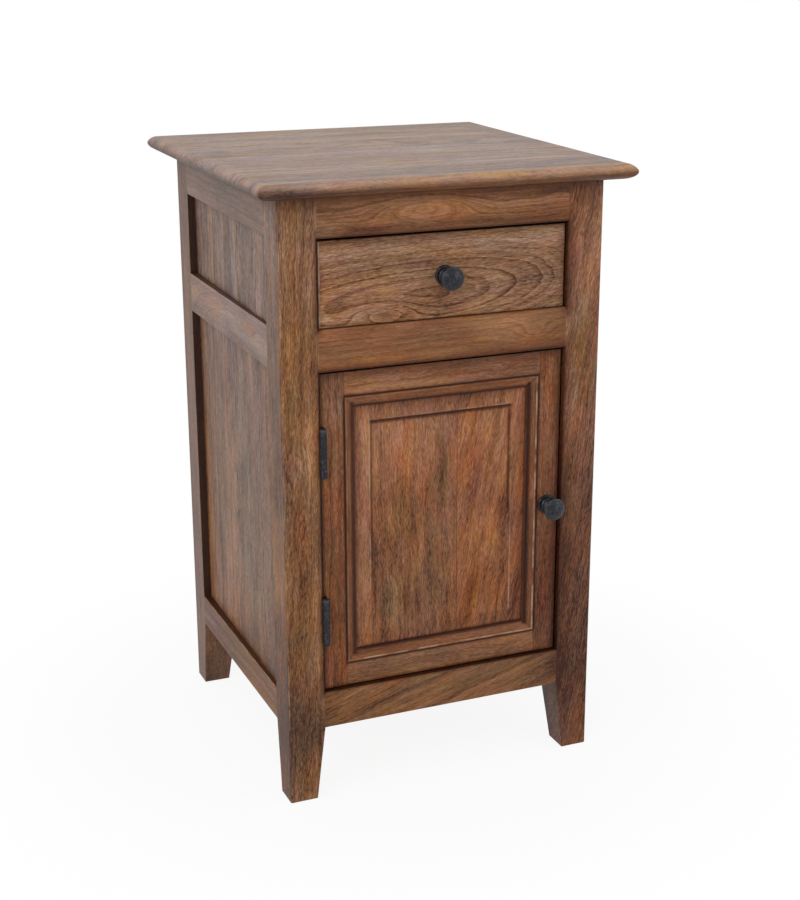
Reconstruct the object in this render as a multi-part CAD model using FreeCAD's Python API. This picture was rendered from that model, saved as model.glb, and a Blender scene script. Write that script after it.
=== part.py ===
import FreeCAD, Part
import math
import os

# A bedside cabinet of solid wood: four tapered posts joined by rails, flat
# panels in grooves, a top with an undercut edge, one drawer that runs on wooden
# runners and one panelled door on two butt hinges.
# Millimetres. Up is +Z, the front faces -Y, and the origin is on the floor
# under the middle of the top.

# Overall sizes
overall_height = 660.4
top_width = 406.4
top_depth = 406.4
side_overhang = 26.2
end_overhang = 26.2

# Top: an upright nose with a rounded upper edge, over an undercut
top_thickness = 16.0
nose_height = 7.0
nose_radius = 4.5
nose_round_share = 0.9
nose_corner_radius = 1.5
undercut_step = 1.0
undercut_run = 7.5

# Posts: square, tapered below the rails on their two inner faces
post_size = 40.0
foot_size = 30.0
leg_height = 82.0
post_arris = 1.5

# Front layout from the top down; the door's opening takes what is left
top_rail_height = 41.8
drawer_opening_height = 90.0
middle_rail_height = 43.0
bottom_rail_height = 40.6
side_bottom_rail_height = 36.0

# Rails and their tenons
rail_thickness = 22.0
tenon_thickness = 10.0
tenon_length = 20.0
tenon_haunch = 2.0
joint_end_gap = 1.0

# Panels in the sides and the back
panel_thickness = 8.0
panel_recess = 11.5
groove_depth = 8.0
panel_edge_gap = 1.0

# Cabinet floor, let into the bottom rails
floor_thickness = 10.0
floor_land = 4.0
floor_tongue = 6.0
floor_post_gap = 0.5

# Drawer
drawer_side_gap = 2.0
drawer_running_gap = 0.4
drawer_top_gap = 2.9
drawer_recess = 4.0
drawer_front_thickness = 20.0
drawer_front_arris = 1.2
drawer_side_thickness = 12.0
drawer_side_drop = 6.7
drawer_lap = 7.0
drawer_back_thickness = 12.0
drawer_back_inset = 8.0
drawer_back_dado = 4.0
drawer_bottom_thickness = 5.0
drawer_bottom_rise = 8.0
drawer_bottom_tongue = 6.0
drawer_bottom_gap = 0.3
tail_count = 3
tail_root_share = 0.44
tail_tip_share = 0.64

# Runners, guides, kickers, stops and the cleats that hold the top
runner_height = 15.0
runner_lip = 2.0
guide_height = 12.0
guide_gap = 0.7
kicker_gap = 2.5
kicker_front_gap = 0.5
stop_length = 12.0
stop_height = 8.0
stop_gap = 0.3
cleat_height = 24.0
cleat_depth = 20.0
cleat_screw_count = 3
cleat_screw_spread_share = 0.5

# Door
door_side_gap = 2.1
door_top_gap = 3.0
door_bottom_gap = 1.8
door_recess = 5.0
door_thickness = 20.0
stile_width = 26.0
door_rail_height = 26.0
door_groove_depth = 7.0
door_tenon_length = 18.0
door_tenon_shoulder = 6.0
door_panel_thickness = 8.0
door_panel_set_back = 5.7
door_panel_gap = 0.8

# Raised border and sunk field of the door's panel
border_width = 16.8
border_rise = 1.4
field_drop = 1.8
field_ease = 1.2

# Mitred moulding planted between the door's frame and its panel
moulding_width = 12.0
moulding_proud = 0.5
moulding_flat = 1.8
moulding_bead = 0.8
moulding_hollow = 0.7
moulding_edge = 1.4
moulding_fillet = 1.3

# Butt hinges with a loose pin
hinge_height = 50.8
hinge_inset = 79.5
barrel_radius = 3.75
barrel_stand_off = 0.1
hinge_leaf_thickness = 1.5
hinge_leaf_gap = 0.4
hinge_leaf_reach = 24.0
hinge_leaf_corner = 2.0
knuckle_count = 5
knuckle_side_count = 24
knuckle_gap = 0.3
knuckle_swing_gap = 0.3
pin_radius = 2.0
pin_clearance = 0.05
pin_head_radius = 3.1
pin_head_height = 1.3
pin_side_count = 16
hinge_screw_count = 3
hinge_screw_spread_share = 0.66

# Turned knobs: radii and distances out from the wood, foot to crown
knob_foot_radius = 10.6
knob_foot_height = 2.6
knob_cove_radius = 7.2
knob_cove_height = 6.4
knob_collar_radius = 8.8
knob_collar_height = 8.8
knob_neck_radius = 6.6
knob_neck_height = 12.0
knob_head_radius = 12.2
knob_head_height = 18.2
knob_rim_height = 20.4
knob_length = 23.6
knob_hole_depth = 9.0
knob_cove_bow = 0.9
knob_collar_bow = 0.5
knob_neck_bow = 0.4
knob_hollow_bow = 2.2
knob_side_count = 32
knob_bend_count = 3
knob_dome_count = 3
knob_crown_share = 0.12

# Machine screws of the knobs
knob_screw_radius = 2.0
knob_screw_hole_gap = 0.2
knob_screw_head_radius = 4.2
knob_screw_head_height = 2.4

# Wood screws: shank radius, head radius, head height, length
cleat_screw = (2.0, 4.0, 2.2, 31.0)
hinge_screw = (1.5, 2.9, 1.4, 15.0)
catch_screw = (1.4, 2.7, 1.3, 13.0)
strike_screw = (1.4, 2.7, 1.3, 9.0)
screw_point_share = 0.25
screw_tip_share = 0.15
screw_side_count = 8

# Magnetic catch on the latch post and its plate on the door
catch_height = 45.0
catch_body_height = 26.0
catch_body_width = 13.0
catch_depth = 12.0
catch_flange = 2.0
catch_drop = 60.0
catch_screw_inset = 5.0
catch_air_gap = 0.3
strike_width = 14.0
strike_height = 24.0
strike_thickness = 1.3
strike_corner = 2.0

# One overrun for cuts that leave a face cleanly, and one closeness for finding edges
overrun = 1.0
tolerance = 0.01

# Levels and half sizes that follow from the sizes above
carcass_width = top_width - 2 * side_overhang
carcass_depth = top_depth - 2 * end_overhang
half_width = carcass_width / 2
half_depth = carcass_depth / 2
inner_x = half_width - post_size
inner_y = half_depth - post_size
rail_back_x = half_width - rail_thickness
rail_back_y = half_depth - rail_thickness
underside = overall_height - top_thickness
drawer_opening_top = underside - top_rail_height
middle_rail_top = drawer_opening_top - drawer_opening_height
door_opening_top = middle_rail_top - middle_rail_height
bottom_rail_top = leg_height + bottom_rail_height
side_bottom_rail_top = leg_height + side_bottom_rail_height
tenon_shoulder = groove_depth + tenon_haunch
floor_top = side_bottom_rail_top - groove_depth - floor_land
floor_low = floor_top - floor_thickness

front_rails = {
    "front_bottom_rail": (leg_height, bottom_rail_top),
    "front_middle_rail": (door_opening_top, middle_rail_top),
    "front_top_rail": (drawer_opening_top, underside),
}
back_rails = {
    "back_bottom_rail": (leg_height, bottom_rail_top),
    "back_top_rail": (drawer_opening_top, underside),
}
side_rails = {
    "side_bottom_rail": (leg_height, side_bottom_rail_top),
    "side_middle_rail": (door_opening_top, middle_rail_top),
    "side_top_rail": (drawer_opening_top, underside),
}
side_panels = {
    "side_lower_panel": (side_bottom_rail_top, door_opening_top),
    "side_upper_panel": (middle_rail_top, drawer_opening_top),
}
back_panel_span = (bottom_rail_top, drawer_opening_top)

# Drawer box
drawer_half = inner_x - drawer_side_gap
drawer_inner = drawer_half - drawer_side_thickness
drawer_bottom_z = middle_rail_top + drawer_running_gap
drawer_front_top = drawer_opening_top - drawer_top_gap
drawer_side_top = drawer_front_top - drawer_side_drop
drawer_face_y = -half_depth + drawer_recess
drawer_shoulder_y = drawer_face_y + drawer_front_thickness
drawer_rear_y = rail_back_y - stop_length - stop_gap
drawer_tail_length = drawer_front_thickness - drawer_lap
drawer_mid_z = (drawer_bottom_z + drawer_front_top) / 2

# Door
door_left = -inner_x + door_side_gap
door_right = inner_x - door_side_gap
door_low = bottom_rail_top + door_bottom_gap
door_top = door_opening_top - door_top_gap
door_face_y = -half_depth + door_recess
door_back_y = door_face_y + door_thickness
door_panel_y = door_face_y + door_panel_set_back
frame_left = door_left + stile_width
frame_right = door_right - stile_width
frame_low = door_low + door_rail_height
frame_top = door_top - door_rail_height

# Hinge axis
hinge_x = -inner_x + hinge_leaf_thickness + hinge_leaf_gap / 2
hinge_y = -half_depth - barrel_radius - barrel_stand_off
hinge_levels = {
    "upper": door_top - hinge_inset,
    "lower": door_low + hinge_inset,
}

X = FreeCAD.Vector(1, 0, 0)
Y = FreeCAD.Vector(0, 1, 0)
Z = FreeCAD.Vector(0, 0, 1)
ORIGIN = FreeCAD.Vector(0, 0, 0)


def block(x0, x1, y0, y1, z0, z1):
    """A box between two levels on each axis, given in either order."""
    low = FreeCAD.Vector(min(x0, x1), min(y0, y1), min(z0, z1))
    size = (abs(x1 - x0), abs(y1 - y0), abs(z1 - z0))
    return Part.makeBox(*size, low)


def board(along, a0, a1, b0, b1, z0, z1):
    """A box whose long side runs along x or y."""
    if along == "x":
        return block(a0, a1, b0, b1, z0, z1)
    return block(b0, b1, a0, a1, z0, z1)


def rectangle(x0, x1, y0, y1, z):
    """A closed rectangular wire at one level."""
    corners = [(x0, y0), (x1, y0), (x1, y1), (x0, y1), (x0, y0)]
    return Part.makePolygon([FreeCAD.Vector(x, y, z) for x, y in corners])


def prism(points, direction):
    """A solid from a closed polygon moved along a vector."""
    face = Part.Face(Part.makePolygon(points + points[:1]))
    return face.extrude(direction)


def cut_all(shape, tools):
    """The shape less every tool."""
    for tool in tools:
        shape = shape.cut(tool)
    return shape


def mirror_x(shape):
    """The shape's mirror image across the middle, left to right."""
    return shape.mirror(ORIGIN, X)


def spans(along):
    """Half the clear run between posts, and the outer face, of one direction."""
    if along == "x":
        return inner_x, half_depth
    return inner_y, half_width


def turned(profile, sides, base, axis):
    """A solid through (radius, distance) points, with flat facets all round."""
    rings = []
    for radius, distance in profile:
        angles = [math.tau * index / sides for index in range(sides + 1)]
        rings.append([
            FreeCAD.Vector(radius * math.cos(angle), radius * math.sin(angle), distance)
            for angle in angles
        ])
    faces = [Part.Face(Part.makePolygon(ring)) for ring in (rings[0], rings[-1])]
    for low, high in zip(rings[:-1], rings[1:]):
        for index in range(sides):
            corners = [low[index], low[index + 1], high[index + 1], high[index]]
            faces.append(Part.Face(Part.makePolygon(corners + corners[:1])))
    return point_along(Part.Solid(Part.Shell(faces)), base, axis)


def point_along(solid, base, axis):
    """Turn a solid from +Z to an axis and move it to its place."""
    turn = FreeCAD.Rotation(Z, axis)
    placed = solid.copy()
    placed.Placement = FreeCAD.Placement(base, turn)
    return placed


def wood_screw(size, base, axis):
    """A countersunk screw whose flat head lies at base and whose point leads."""
    radius, head_radius, head_height, length = size
    point = length * (1 - screw_point_share)
    profile = [
        (head_radius, 0), (radius, head_height),
        (radius, point), (radius * screw_tip_share, length),
    ]
    return turned(profile, screw_side_count, base, axis)


# Rails, tenons and panels


def tenon(along, side, end, low, top, extra):
    """The tenon at one end of a rail; extra lengthens it into a mortise."""
    run, face = spans(along)
    outer = face - (rail_thickness - tenon_thickness) / 2
    return board(
        along, end * run, end * (run + tenon_length + extra),
        side * outer, side * (outer - tenon_thickness),
        low + tenon_shoulder, top - tenon_shoulder,
    )


def panel(along, side, low, top, grow):
    """A flat panel between rails; grow turns it into its own groove."""
    run, face = spans(along)
    reach = groove_depth - panel_edge_gap + grow
    outer = face - panel_recess
    return board(
        along, -run - reach, run + reach,
        side * outer, side * (outer - panel_thickness),
        low - reach, top + reach,
    )


def floor_shape(reach, gap):
    """The cabinet floor, notched round the posts."""
    wide = block(
        -rail_back_x - reach, rail_back_x + reach,
        -inner_y + gap, inner_y - gap, floor_low, floor_top,
    )
    deep = block(
        -inner_x + gap, inner_x - gap,
        -rail_back_y - reach, rail_back_y + reach, floor_low, floor_top,
    )
    return wide.fuse(deep).removeSplitter()


def rail(along, side, low, top, grooves):
    """A rail with a tenon at each end and the grooves of what it holds."""
    run, face = spans(along)
    body = board(
        along, -run, run, side * face, side * (face - rail_thickness), low, top
    )
    body = cut_all(body, grooves)
    for end in (-1, 1):
        body = body.fuse(tenon(along, side, end, low, top, 0))
    return body.removeSplitter()


def panel_grooves():
    """The grooves of every side panel and of the back panel."""
    grooves = []
    for low, top in side_panels.values():
        for side in (-1, 1):
            grooves.append(panel("y", side, low, top, panel_edge_gap))
    grooves.append(panel("x", 1, *back_panel_span, panel_edge_gap))
    return grooves


def post_space(sx, sy):
    """The upright space of one post, for the notches of inner pieces."""
    return block(
        sx * half_width, sx * inner_x, sy * half_depth, sy * inner_y,
        0, overall_height,
    )


def post(sx, sy):
    """One post: tapered foot, mortises, panel grooves and an eased corner."""
    x, y = sx * half_width, sy * half_depth
    foot = rectangle(x, x - sx * foot_size, y, y - sy * foot_size, 0)
    knee = rectangle(x, sx * inner_x, y, sy * inner_y, leg_height)
    leg = Part.makeLoft([foot, knee], True, True)
    upper = block(x, sx * inner_x, y, sy * inner_y, leg_height, underside)
    body = leg.fuse(upper).removeSplitter()
    corner = [
        edge for edge in body.Edges
        if all(
            abs(v.X - x) < tolerance and abs(v.Y - y) < tolerance
            for v in edge.Vertexes
        )
    ]
    body = body.makeFillet(post_arris, corner)
    across = front_rails if sy < 0 else back_rails
    mortises = [
        tenon("x", sy, sx, low, top, joint_end_gap) for low, top in across.values()
    ]
    mortises += [
        tenon("y", sx, sy, low, top, joint_end_gap) for low, top in side_rails.values()
    ]
    return cut_all(body, mortises + panel_grooves())


def top_panel():
    """The top board: nose with a rounded upper edge over an undercut."""
    nose_low = overall_height - nose_height
    half_x, half_y = top_width / 2, top_depth / 2
    nose = block(-half_x, half_x, -half_y, half_y, nose_low, overall_height)
    upright = [
        edge for edge in nose.Edges
        if abs(edge.Vertexes[0].Z - edge.Vertexes[-1].Z) > nose_height / 2
    ]
    nose = nose.makeFillet(nose_corner_radius, upright)
    rim = [
        edge for edge in nose.Edges
        if all(abs(v.Z - overall_height) < tolerance for v in edge.Vertexes)
    ]
    nose = nose.makeFillet(min(nose_radius, nose_height * nose_round_share), rim)
    step_x, step_y = half_x - undercut_step, half_y - undercut_step
    run_x, run_y = half_x - undercut_run, half_y - undercut_run
    under = Part.makeLoft(
        [
            rectangle(-run_x, run_x, -run_y, run_y, underside),
            rectangle(-step_x, step_x, -step_y, step_y, nose_low),
        ],
        True, True,
    )
    return cut_all(nose.fuse(under).removeSplitter(), cleat_screws())


def cleat_screws():
    """The screws that go up through both cleats into the top."""
    spread = carcass_width * cleat_screw_spread_share
    pitch = spread / (cleat_screw_count - 1)
    low = underside - cleat_height
    screws = []
    for side in (-1, 1):
        y = side * (rail_back_y - cleat_depth / 2)
        for index in range(cleat_screw_count):
            x = -spread / 2 + index * pitch
            screws.append(wood_screw(cleat_screw, FreeCAD.Vector(x, y, low), Z))
    return screws


def top_cleat(side):
    """The cleat behind the front or back top rail."""
    body = block(
        -inner_x, inner_x, side * rail_back_y, side * (rail_back_y - cleat_depth),
        underside - cleat_height, underside,
    )
    return cut_all(body, cleat_screws())


def drawer_runner():
    """The left runner: a ledge for the drawer's side and a guide beside it."""
    inner = drawer_inner - runner_lip
    ledge = block(
        -rail_back_x, -inner, -rail_back_y, rail_back_y,
        middle_rail_top - runner_height, middle_rail_top,
    )
    guide = block(
        -rail_back_x, -drawer_half - guide_gap, -inner_y, inner_y,
        middle_rail_top, middle_rail_top + guide_height,
    )
    body = ledge.fuse(guide)
    return cut_all(body, [post_space(-1, -1), post_space(-1, 1)]).removeSplitter()


def drawer_kicker():
    """The left kicker, which keeps the open drawer from tipping."""
    body = block(
        -rail_back_x, -drawer_inner + runner_lip,
        drawer_shoulder_y + kicker_front_gap, rail_back_y,
        drawer_side_top + kicker_gap, underside - cleat_height,
    )
    return cut_all(body, [post_space(-1, -1), post_space(-1, 1)])


def drawer_stop():
    """The left stop, glued to the runner behind the drawer's side."""
    return block(
        -drawer_half, -drawer_inner, drawer_rear_y + stop_gap, rail_back_y,
        middle_rail_top, middle_rail_top + stop_height,
    )


# Drawer


def drawer_tails(side):
    """The dovetail tails of one drawer side, wider at the tip."""
    height = drawer_side_top - drawer_bottom_z
    pitch = height / tail_count
    tip_y = drawer_shoulder_y - drawer_tail_length
    tails = []
    for index in range(tail_count):
        middle = drawer_bottom_z + pitch * (index + 1 / 2)
        root, tip = pitch * tail_root_share / 2, pitch * tail_tip_share / 2
        outline = [
            (drawer_shoulder_y, middle - root), (tip_y, middle - tip),
            (tip_y, middle + tip), (drawer_shoulder_y, middle + root),
        ]
        points = [FreeCAD.Vector(side * drawer_inner, y, z) for y, z in outline]
        tails.append(prism(points, X * (side * drawer_side_thickness)))
    return tails


def drawer_bottom(grow):
    """The drawer's bottom board; grow turns it into its own groove."""
    low = drawer_bottom_z + drawer_bottom_rise
    top = low + drawer_bottom_thickness
    reach = drawer_bottom_tongue - drawer_bottom_gap + grow
    back = drawer_rear_y - drawer_back_inset
    wide = block(
        -drawer_inner - reach, drawer_inner + reach,
        drawer_shoulder_y, back + grow, low, top,
    )
    tongue = block(
        -drawer_inner, drawer_inner,
        drawer_shoulder_y - reach, drawer_shoulder_y, low, top,
    )
    return wide.fuse(tongue).removeSplitter()


def drawer_back():
    """The drawer's back, housed in its sides and standing on its bottom."""
    reach = drawer_inner + drawer_back_dado
    rear = drawer_rear_y - drawer_back_inset
    return block(
        -reach, reach, rear - drawer_back_thickness, rear,
        drawer_bottom_z + drawer_bottom_rise + drawer_bottom_thickness,
        drawer_side_top,
    )


def drawer_front():
    """The drawer's front with its dovetail sockets and eased face edges."""
    body = block(
        -drawer_half, drawer_half, drawer_face_y, drawer_shoulder_y,
        drawer_bottom_z, drawer_front_top,
    )
    rim = [
        edge for edge in body.Edges
        if all(abs(v.Y - drawer_face_y) < tolerance for v in edge.Vertexes)
    ]
    body = body.makeFillet(drawer_front_arris, rim)
    body = cut_all(body, drawer_tails(-1) + drawer_tails(1))
    hole = knob_screw_hole(0, drawer_face_y, drawer_mid_z, drawer_front_thickness)
    return cut_all(body, [drawer_bottom(drawer_bottom_gap), hole])


def drawer_side():
    """The left drawer side with its tails, groove and dado."""
    body = block(
        -drawer_half, -drawer_inner, drawer_shoulder_y, drawer_rear_y,
        drawer_bottom_z, drawer_side_top,
    )
    back = drawer_rear_y - drawer_back_inset
    groove = block(
        0, -drawer_inner - drawer_bottom_tongue, drawer_shoulder_y,
        back + drawer_bottom_gap, drawer_bottom_z + drawer_bottom_rise,
        drawer_bottom_z + drawer_bottom_rise + drawer_bottom_thickness,
    )
    body = cut_all(body, [groove, drawer_back()])
    for tail in drawer_tails(-1):
        body = body.fuse(tail)
    return body.removeSplitter()


# Knobs


def bend(start, end, bow):
    """Points after start up to end, bowed sideways like a half wave."""
    (r0, h0), (r1, h1) = start, end
    length = math.hypot(r1 - r0, h1 - h0)
    points = []
    for index in range(1, knob_bend_count + 1):
        share = index / knob_bend_count
        push = bow * math.sin(math.pi * share) / length
        points.append((
            r0 + (r1 - r0) * share + (h1 - h0) * push,
            h0 + (h1 - h0) * share - (r1 - r0) * push,
        ))
    return points


def dome(radius, low, top):
    """Points up a shallow dome, part of a sphere, from its rim to a small flat crown."""
    height = top - low
    sphere = (radius ** 2 + height ** 2) / (2 * height)
    points = []
    for index in range(1, knob_dome_count + 1):
        at = radius * (1 - (1 - knob_crown_share) * index / knob_dome_count)
        points.append((at, top - sphere + math.sqrt(sphere ** 2 - at ** 2)))
    return points


def knob(x, face_y, z):
    """A turned knob: rosette foot, cove, collar, neck and domed head."""
    foot = (knob_foot_radius, knob_foot_height / 2)
    shoulder = (knob_cove_radius + knob_foot_height / 2, knob_foot_height)
    cove = (knob_cove_radius, knob_cove_height)
    collar = (knob_collar_radius, knob_collar_height)
    neck = (knob_neck_radius, knob_neck_height)
    head = (knob_head_radius, knob_head_height)
    profile = [(knob_foot_radius, 0), foot, shoulder]
    profile += bend(shoulder, cove, -knob_cove_bow)
    profile += bend(cove, collar, knob_collar_bow)
    profile += bend(collar, neck, -knob_neck_bow)
    profile += bend(neck, head, knob_hollow_bow)
    profile.append((knob_head_radius, knob_rim_height))
    profile += dome(knob_head_radius, knob_rim_height, knob_length)
    base = FreeCAD.Vector(x, face_y, z)
    hole = [(knob_screw_radius, 0), (knob_screw_radius, knob_hole_depth)]
    solid = turned(profile, knob_side_count, base, -Y)
    return solid.cut(turned(hole, screw_side_count, base, -Y))


def knob_screw_hole(x, face_y, z, thickness):
    """The clearance hole of a knob's screw through a board."""
    radius = knob_screw_radius + knob_screw_hole_gap
    hole = [(radius, 0), (radius, thickness + 2 * overrun)]
    return turned(hole, screw_side_count, FreeCAD.Vector(x, face_y - overrun, z), Y)


def knob_screw(x, face_y, z, thickness):
    """A pan-headed screw from behind the board into the knob."""
    base = FreeCAD.Vector(x, face_y + thickness, z)
    head = [
        (knob_screw_head_radius, 0), (knob_screw_head_radius, knob_screw_head_height / 2),
        (knob_screw_head_radius / 2, knob_screw_head_height),
    ]
    shank = [(knob_screw_radius, 0), (knob_screw_radius, thickness + knob_hole_depth)]
    crown = turned(head, screw_side_count, base, Y)
    return crown.fuse(turned(shank, screw_side_count, base, -Y)).removeSplitter()


# Door

knob_x = door_right - stile_width / 2
knob_z = (door_low + door_top) / 2


def door_groove():
    """The groove round the inside of the door's frame."""
    return block(
        frame_left - door_groove_depth, frame_right + door_groove_depth,
        door_panel_y, door_panel_y + door_panel_thickness,
        frame_low - door_groove_depth, frame_top + door_groove_depth,
    )


def door_tenon(side, low, top, outer, extra):
    """The tenon of a door rail, in line with the panel's groove."""
    shoulder = frame_left if side < 0 else frame_right
    length = side * (door_tenon_length + extra)
    low = low + (door_tenon_shoulder if outer < 0 else door_groove_depth)
    top = top - (door_groove_depth if outer < 0 else door_tenon_shoulder)
    return block(
        shoulder, shoulder + length,
        door_panel_y, door_panel_y + door_panel_thickness, low, top,
    )


door_rails = {
    "door_bottom_rail": (door_low, frame_low, -1),
    "door_top_rail": (frame_top, door_top, 1),
}


def door_rail(low, top, outer):
    """A door rail with its tenons and the panel's groove."""
    body = block(frame_left, frame_right, door_face_y, door_back_y, low, top)
    body = body.cut(door_groove())
    for side in (-1, 1):
        body = body.fuse(door_tenon(side, low, top, outer, 0))
    return body.removeSplitter()


def door_stile(side):
    """A door stile with mortises, groove and its hardware's seats."""
    outer = door_left if side < 0 else door_right
    inner = frame_left if side < 0 else frame_right
    body = block(outer, inner, door_face_y, door_back_y, door_low, door_top)
    tools = [
        door_tenon(side, low, top, outer_side, joint_end_gap)
        for low, top, outer_side in door_rails.values()
    ]
    tools.append(door_groove())
    if side < 0:
        tools += [door_leaf_plate(z) for z in hinge_levels.values()]
        tools += hinge_screws(1)
    else:
        tools.append(knob_screw_hole(knob_x, door_face_y, knob_z, door_thickness))
        tools.append(strike_wood_screw())
    return cut_all(body, tools)


def door_panel():
    """The door's panel: thin edge, raised border, sunk field."""
    reach = door_groove_depth - door_panel_gap
    slab = block(
        frame_left - reach, frame_right + reach,
        door_panel_y, door_panel_y + door_panel_thickness,
        frame_low - reach, frame_top + reach,
    )
    rim = field_outline(moulding_width, door_panel_y)
    brow = field_outline(moulding_width + border_width, door_panel_y - border_rise)
    border = Part.makeLoft([rim, brow], True, True)
    lip = field_outline(moulding_width + border_width, door_panel_y - border_rise - overrun)
    lip_low = field_outline(moulding_width + border_width, door_panel_y - border_rise)
    well = field_outline(
        moulding_width + border_width + field_ease,
        door_panel_y - border_rise + field_drop,
    )
    mouth = Part.makeLoft([lip, lip_low], True, True)
    sunk = Part.makeLoft([lip_low, well], True, True)
    body = slab.fuse(border).removeSplitter()
    return cut_all(body, [mouth, sunk])


def field_outline(inset, y):
    """A rectangle in the door's plane, inset from the frame's inner edges."""
    left, right = frame_left + inset, frame_right - inset
    low, top = frame_low + inset, frame_top - inset
    corners = [(left, low), (right, low), (right, top), (left, top), (left, low)]
    return Part.makePolygon([FreeCAD.Vector(x, y, z) for x, z in corners])


def moulding_profile():
    """The moulding's section as (inward, outward) points and one hollow."""
    back = -door_panel_set_back
    edge = back + moulding_edge
    start = (moulding_flat + moulding_bead, moulding_proud - moulding_bead)
    end = (moulding_width - moulding_fillet, edge + moulding_hollow)
    middle = (
        (start[0] + end[0]) / 2 - moulding_hollow / 2,
        (start[1] + end[1]) / 2 - moulding_hollow,
    )
    return back, edge, start, middle, end


def moulding_bar(length):
    """A straight bar of the moulding along +X, inward being +Y."""
    back, edge, start, middle, end = moulding_profile()

    def spot(inward, outward):
        return FreeCAD.Vector(0, inward, outward)

    points = [
        spot(moulding_width, edge), spot(moulding_width, back), spot(0, back),
        spot(0, moulding_proud - moulding_bead / 2),
        spot(moulding_bead / 2, moulding_proud), spot(moulding_flat, moulding_proud),
    ]
    edges = [
        Part.LineSegment(a, b).toShape() for a, b in zip(points[:-1], points[1:])
    ]
    edges.append(Part.LineSegment(points[-1], spot(*start)).toShape())
    edges.append(Part.Arc(spot(*start), spot(*middle), spot(*end)).toShape())
    edges.append(Part.LineSegment(spot(*end), points[0]).toShape())
    bar = Part.Face(Part.Wire(edges)).extrude(X * length)
    return mitred(bar, length)


def mitred(bar, length):
    """The bar with both ends cut at 45 degrees, longest at its outer edge."""
    low = -door_panel_set_back - overrun
    deep = moulding_width + overrun
    height = X.cross(Y) * (door_panel_set_back + moulding_proud + 2 * overrun)
    for start, away in ((0, 1), (length, -1)):
        points = [
            FreeCAD.Vector(start - away * overrun, -overrun, low),
            FreeCAD.Vector(start - away * overrun, deep, low),
            FreeCAD.Vector(start + away * deep, deep, low),
        ]
        bar = bar.cut(prism(points, height))
    return bar


def door_moulding(name):
    """One of the four mitred strips, turned to its place in the door."""
    wide, high = frame_right - frame_left, frame_top - frame_low
    places = {
        "bottom": (wide, frame_left, frame_low, X, Z),
        "top": (wide, frame_right, frame_top, -X, -Z),
        "left": (high, frame_left, frame_top, -Z, X),
        "right": (high, frame_right, frame_low, Z, -X),
    }
    length, x, z, along, inward = places[name]
    turn = FreeCAD.Rotation(along, inward, -Y, "XYZ")
    bar = moulding_bar(length)
    bar.Placement = FreeCAD.Placement(FreeCAD.Vector(x, door_face_y, z), turn)
    return bar


# Hinges


def knuckle_spans(middle, owner):
    """The knuckles of one leaf: the post's leaf owns the odd ones."""
    pitch = hinge_height / knuckle_count
    low = middle - hinge_height / 2
    spans_found = []
    for index in range(knuckle_count):
        if (index % 2 == 0) == (owner == "post"):
            first = low + index * pitch + (knuckle_gap / 2 if index > 0 else 0)
            last = low + (index + 1) * pitch
            last -= knuckle_gap / 2 if index < knuckle_count - 1 else 0
            spans_found.append((first, last))
    return spans_found


def barrel(low, top, radius):
    """A faceted barrel on the hinge's axis."""
    base = FreeCAD.Vector(hinge_x, hinge_y, low)
    return turned([(radius, 0), (radius, top - low)], knuckle_side_count, base, Z)


def leaf_plate(x0, x1, middle):
    """A hinge plate with rounded back corners, from the axis inwards."""
    back = hinge_y + hinge_leaf_reach
    plate = block(
        x0, x1, hinge_y, back, middle - hinge_height / 2, middle + hinge_height / 2
    )
    corners = [
        edge for edge in plate.Edges
        if all(abs(v.Y - back) < tolerance for v in edge.Vertexes)
        and abs(edge.Vertexes[0].X - edge.Vertexes[-1].X) > tolerance
    ]
    return plate.makeFillet(hinge_leaf_corner, corners)


def door_leaf_plate(middle):
    """The plate let into the door's edge."""
    x0 = hinge_x + hinge_leaf_gap / 2
    return leaf_plate(x0, x0 + hinge_leaf_thickness, middle)


def post_leaf_plate(middle):
    """The plate fixed to the post's inner face."""
    return leaf_plate(-inner_x, -inner_x + hinge_leaf_thickness, middle)


def hinge_leaf(middle, owner):
    """One leaf: its plate, its knuckles, and room for the other's knuckles."""
    other = "door" if owner == "post" else "post"
    plate = post_leaf_plate(middle) if owner == "post" else door_leaf_plate(middle)
    for low, top in knuckle_spans(middle, other):
        room = barrel(
            low - knuckle_gap, top + knuckle_gap, barrel_radius + knuckle_swing_gap
        )
        plate = plate.cut(room)
    for low, top in knuckle_spans(middle, owner):
        plate = plate.fuse(barrel(low, top, barrel_radius))
    bore = barrel(
        middle - hinge_height, middle + hinge_height, pin_radius + pin_clearance
    )
    screws = hinge_screws(-1 if owner == "post" else 1)
    return cut_all(plate.removeSplitter(), [bore] + screws)


def hinge_pin(middle):
    """A pin through the knuckles with a flat head at each end."""
    low, top = middle - hinge_height / 2, middle + hinge_height / 2
    foot = FreeCAD.Vector(hinge_x, hinge_y, low)
    pin = Part.makeCylinder(pin_radius, top - low, foot)
    crown = pin_head_height / 2
    profile = [
        (pin_head_radius, 0), (pin_head_radius, crown),
        (pin_head_radius - crown, pin_head_height),
    ]
    for level, way in ((top, Z), (low, -Z)):
        base = FreeCAD.Vector(hinge_x, hinge_y, level)
        pin = pin.fuse(turned(profile, pin_side_count, base, way))
    return pin.removeSplitter()


def hinge_screws(way):
    """The screws of both hinges, into the post (-1) or the door (+1)."""
    x = -inner_x + hinge_leaf_thickness if way < 0 else hinge_x + hinge_leaf_gap / 2
    y = door_face_y + (hinge_y + hinge_leaf_reach - door_face_y) / 2
    spread = hinge_height * hinge_screw_spread_share
    pitch = spread / (hinge_screw_count - 1)
    screws = []
    for middle in hinge_levels.values():
        for index in range(hinge_screw_count):
            z = middle - spread / 2 + index * pitch
            screws.append(wood_screw(hinge_screw, FreeCAD.Vector(x, y, z), X * way))
    return screws


# Catch

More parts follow.
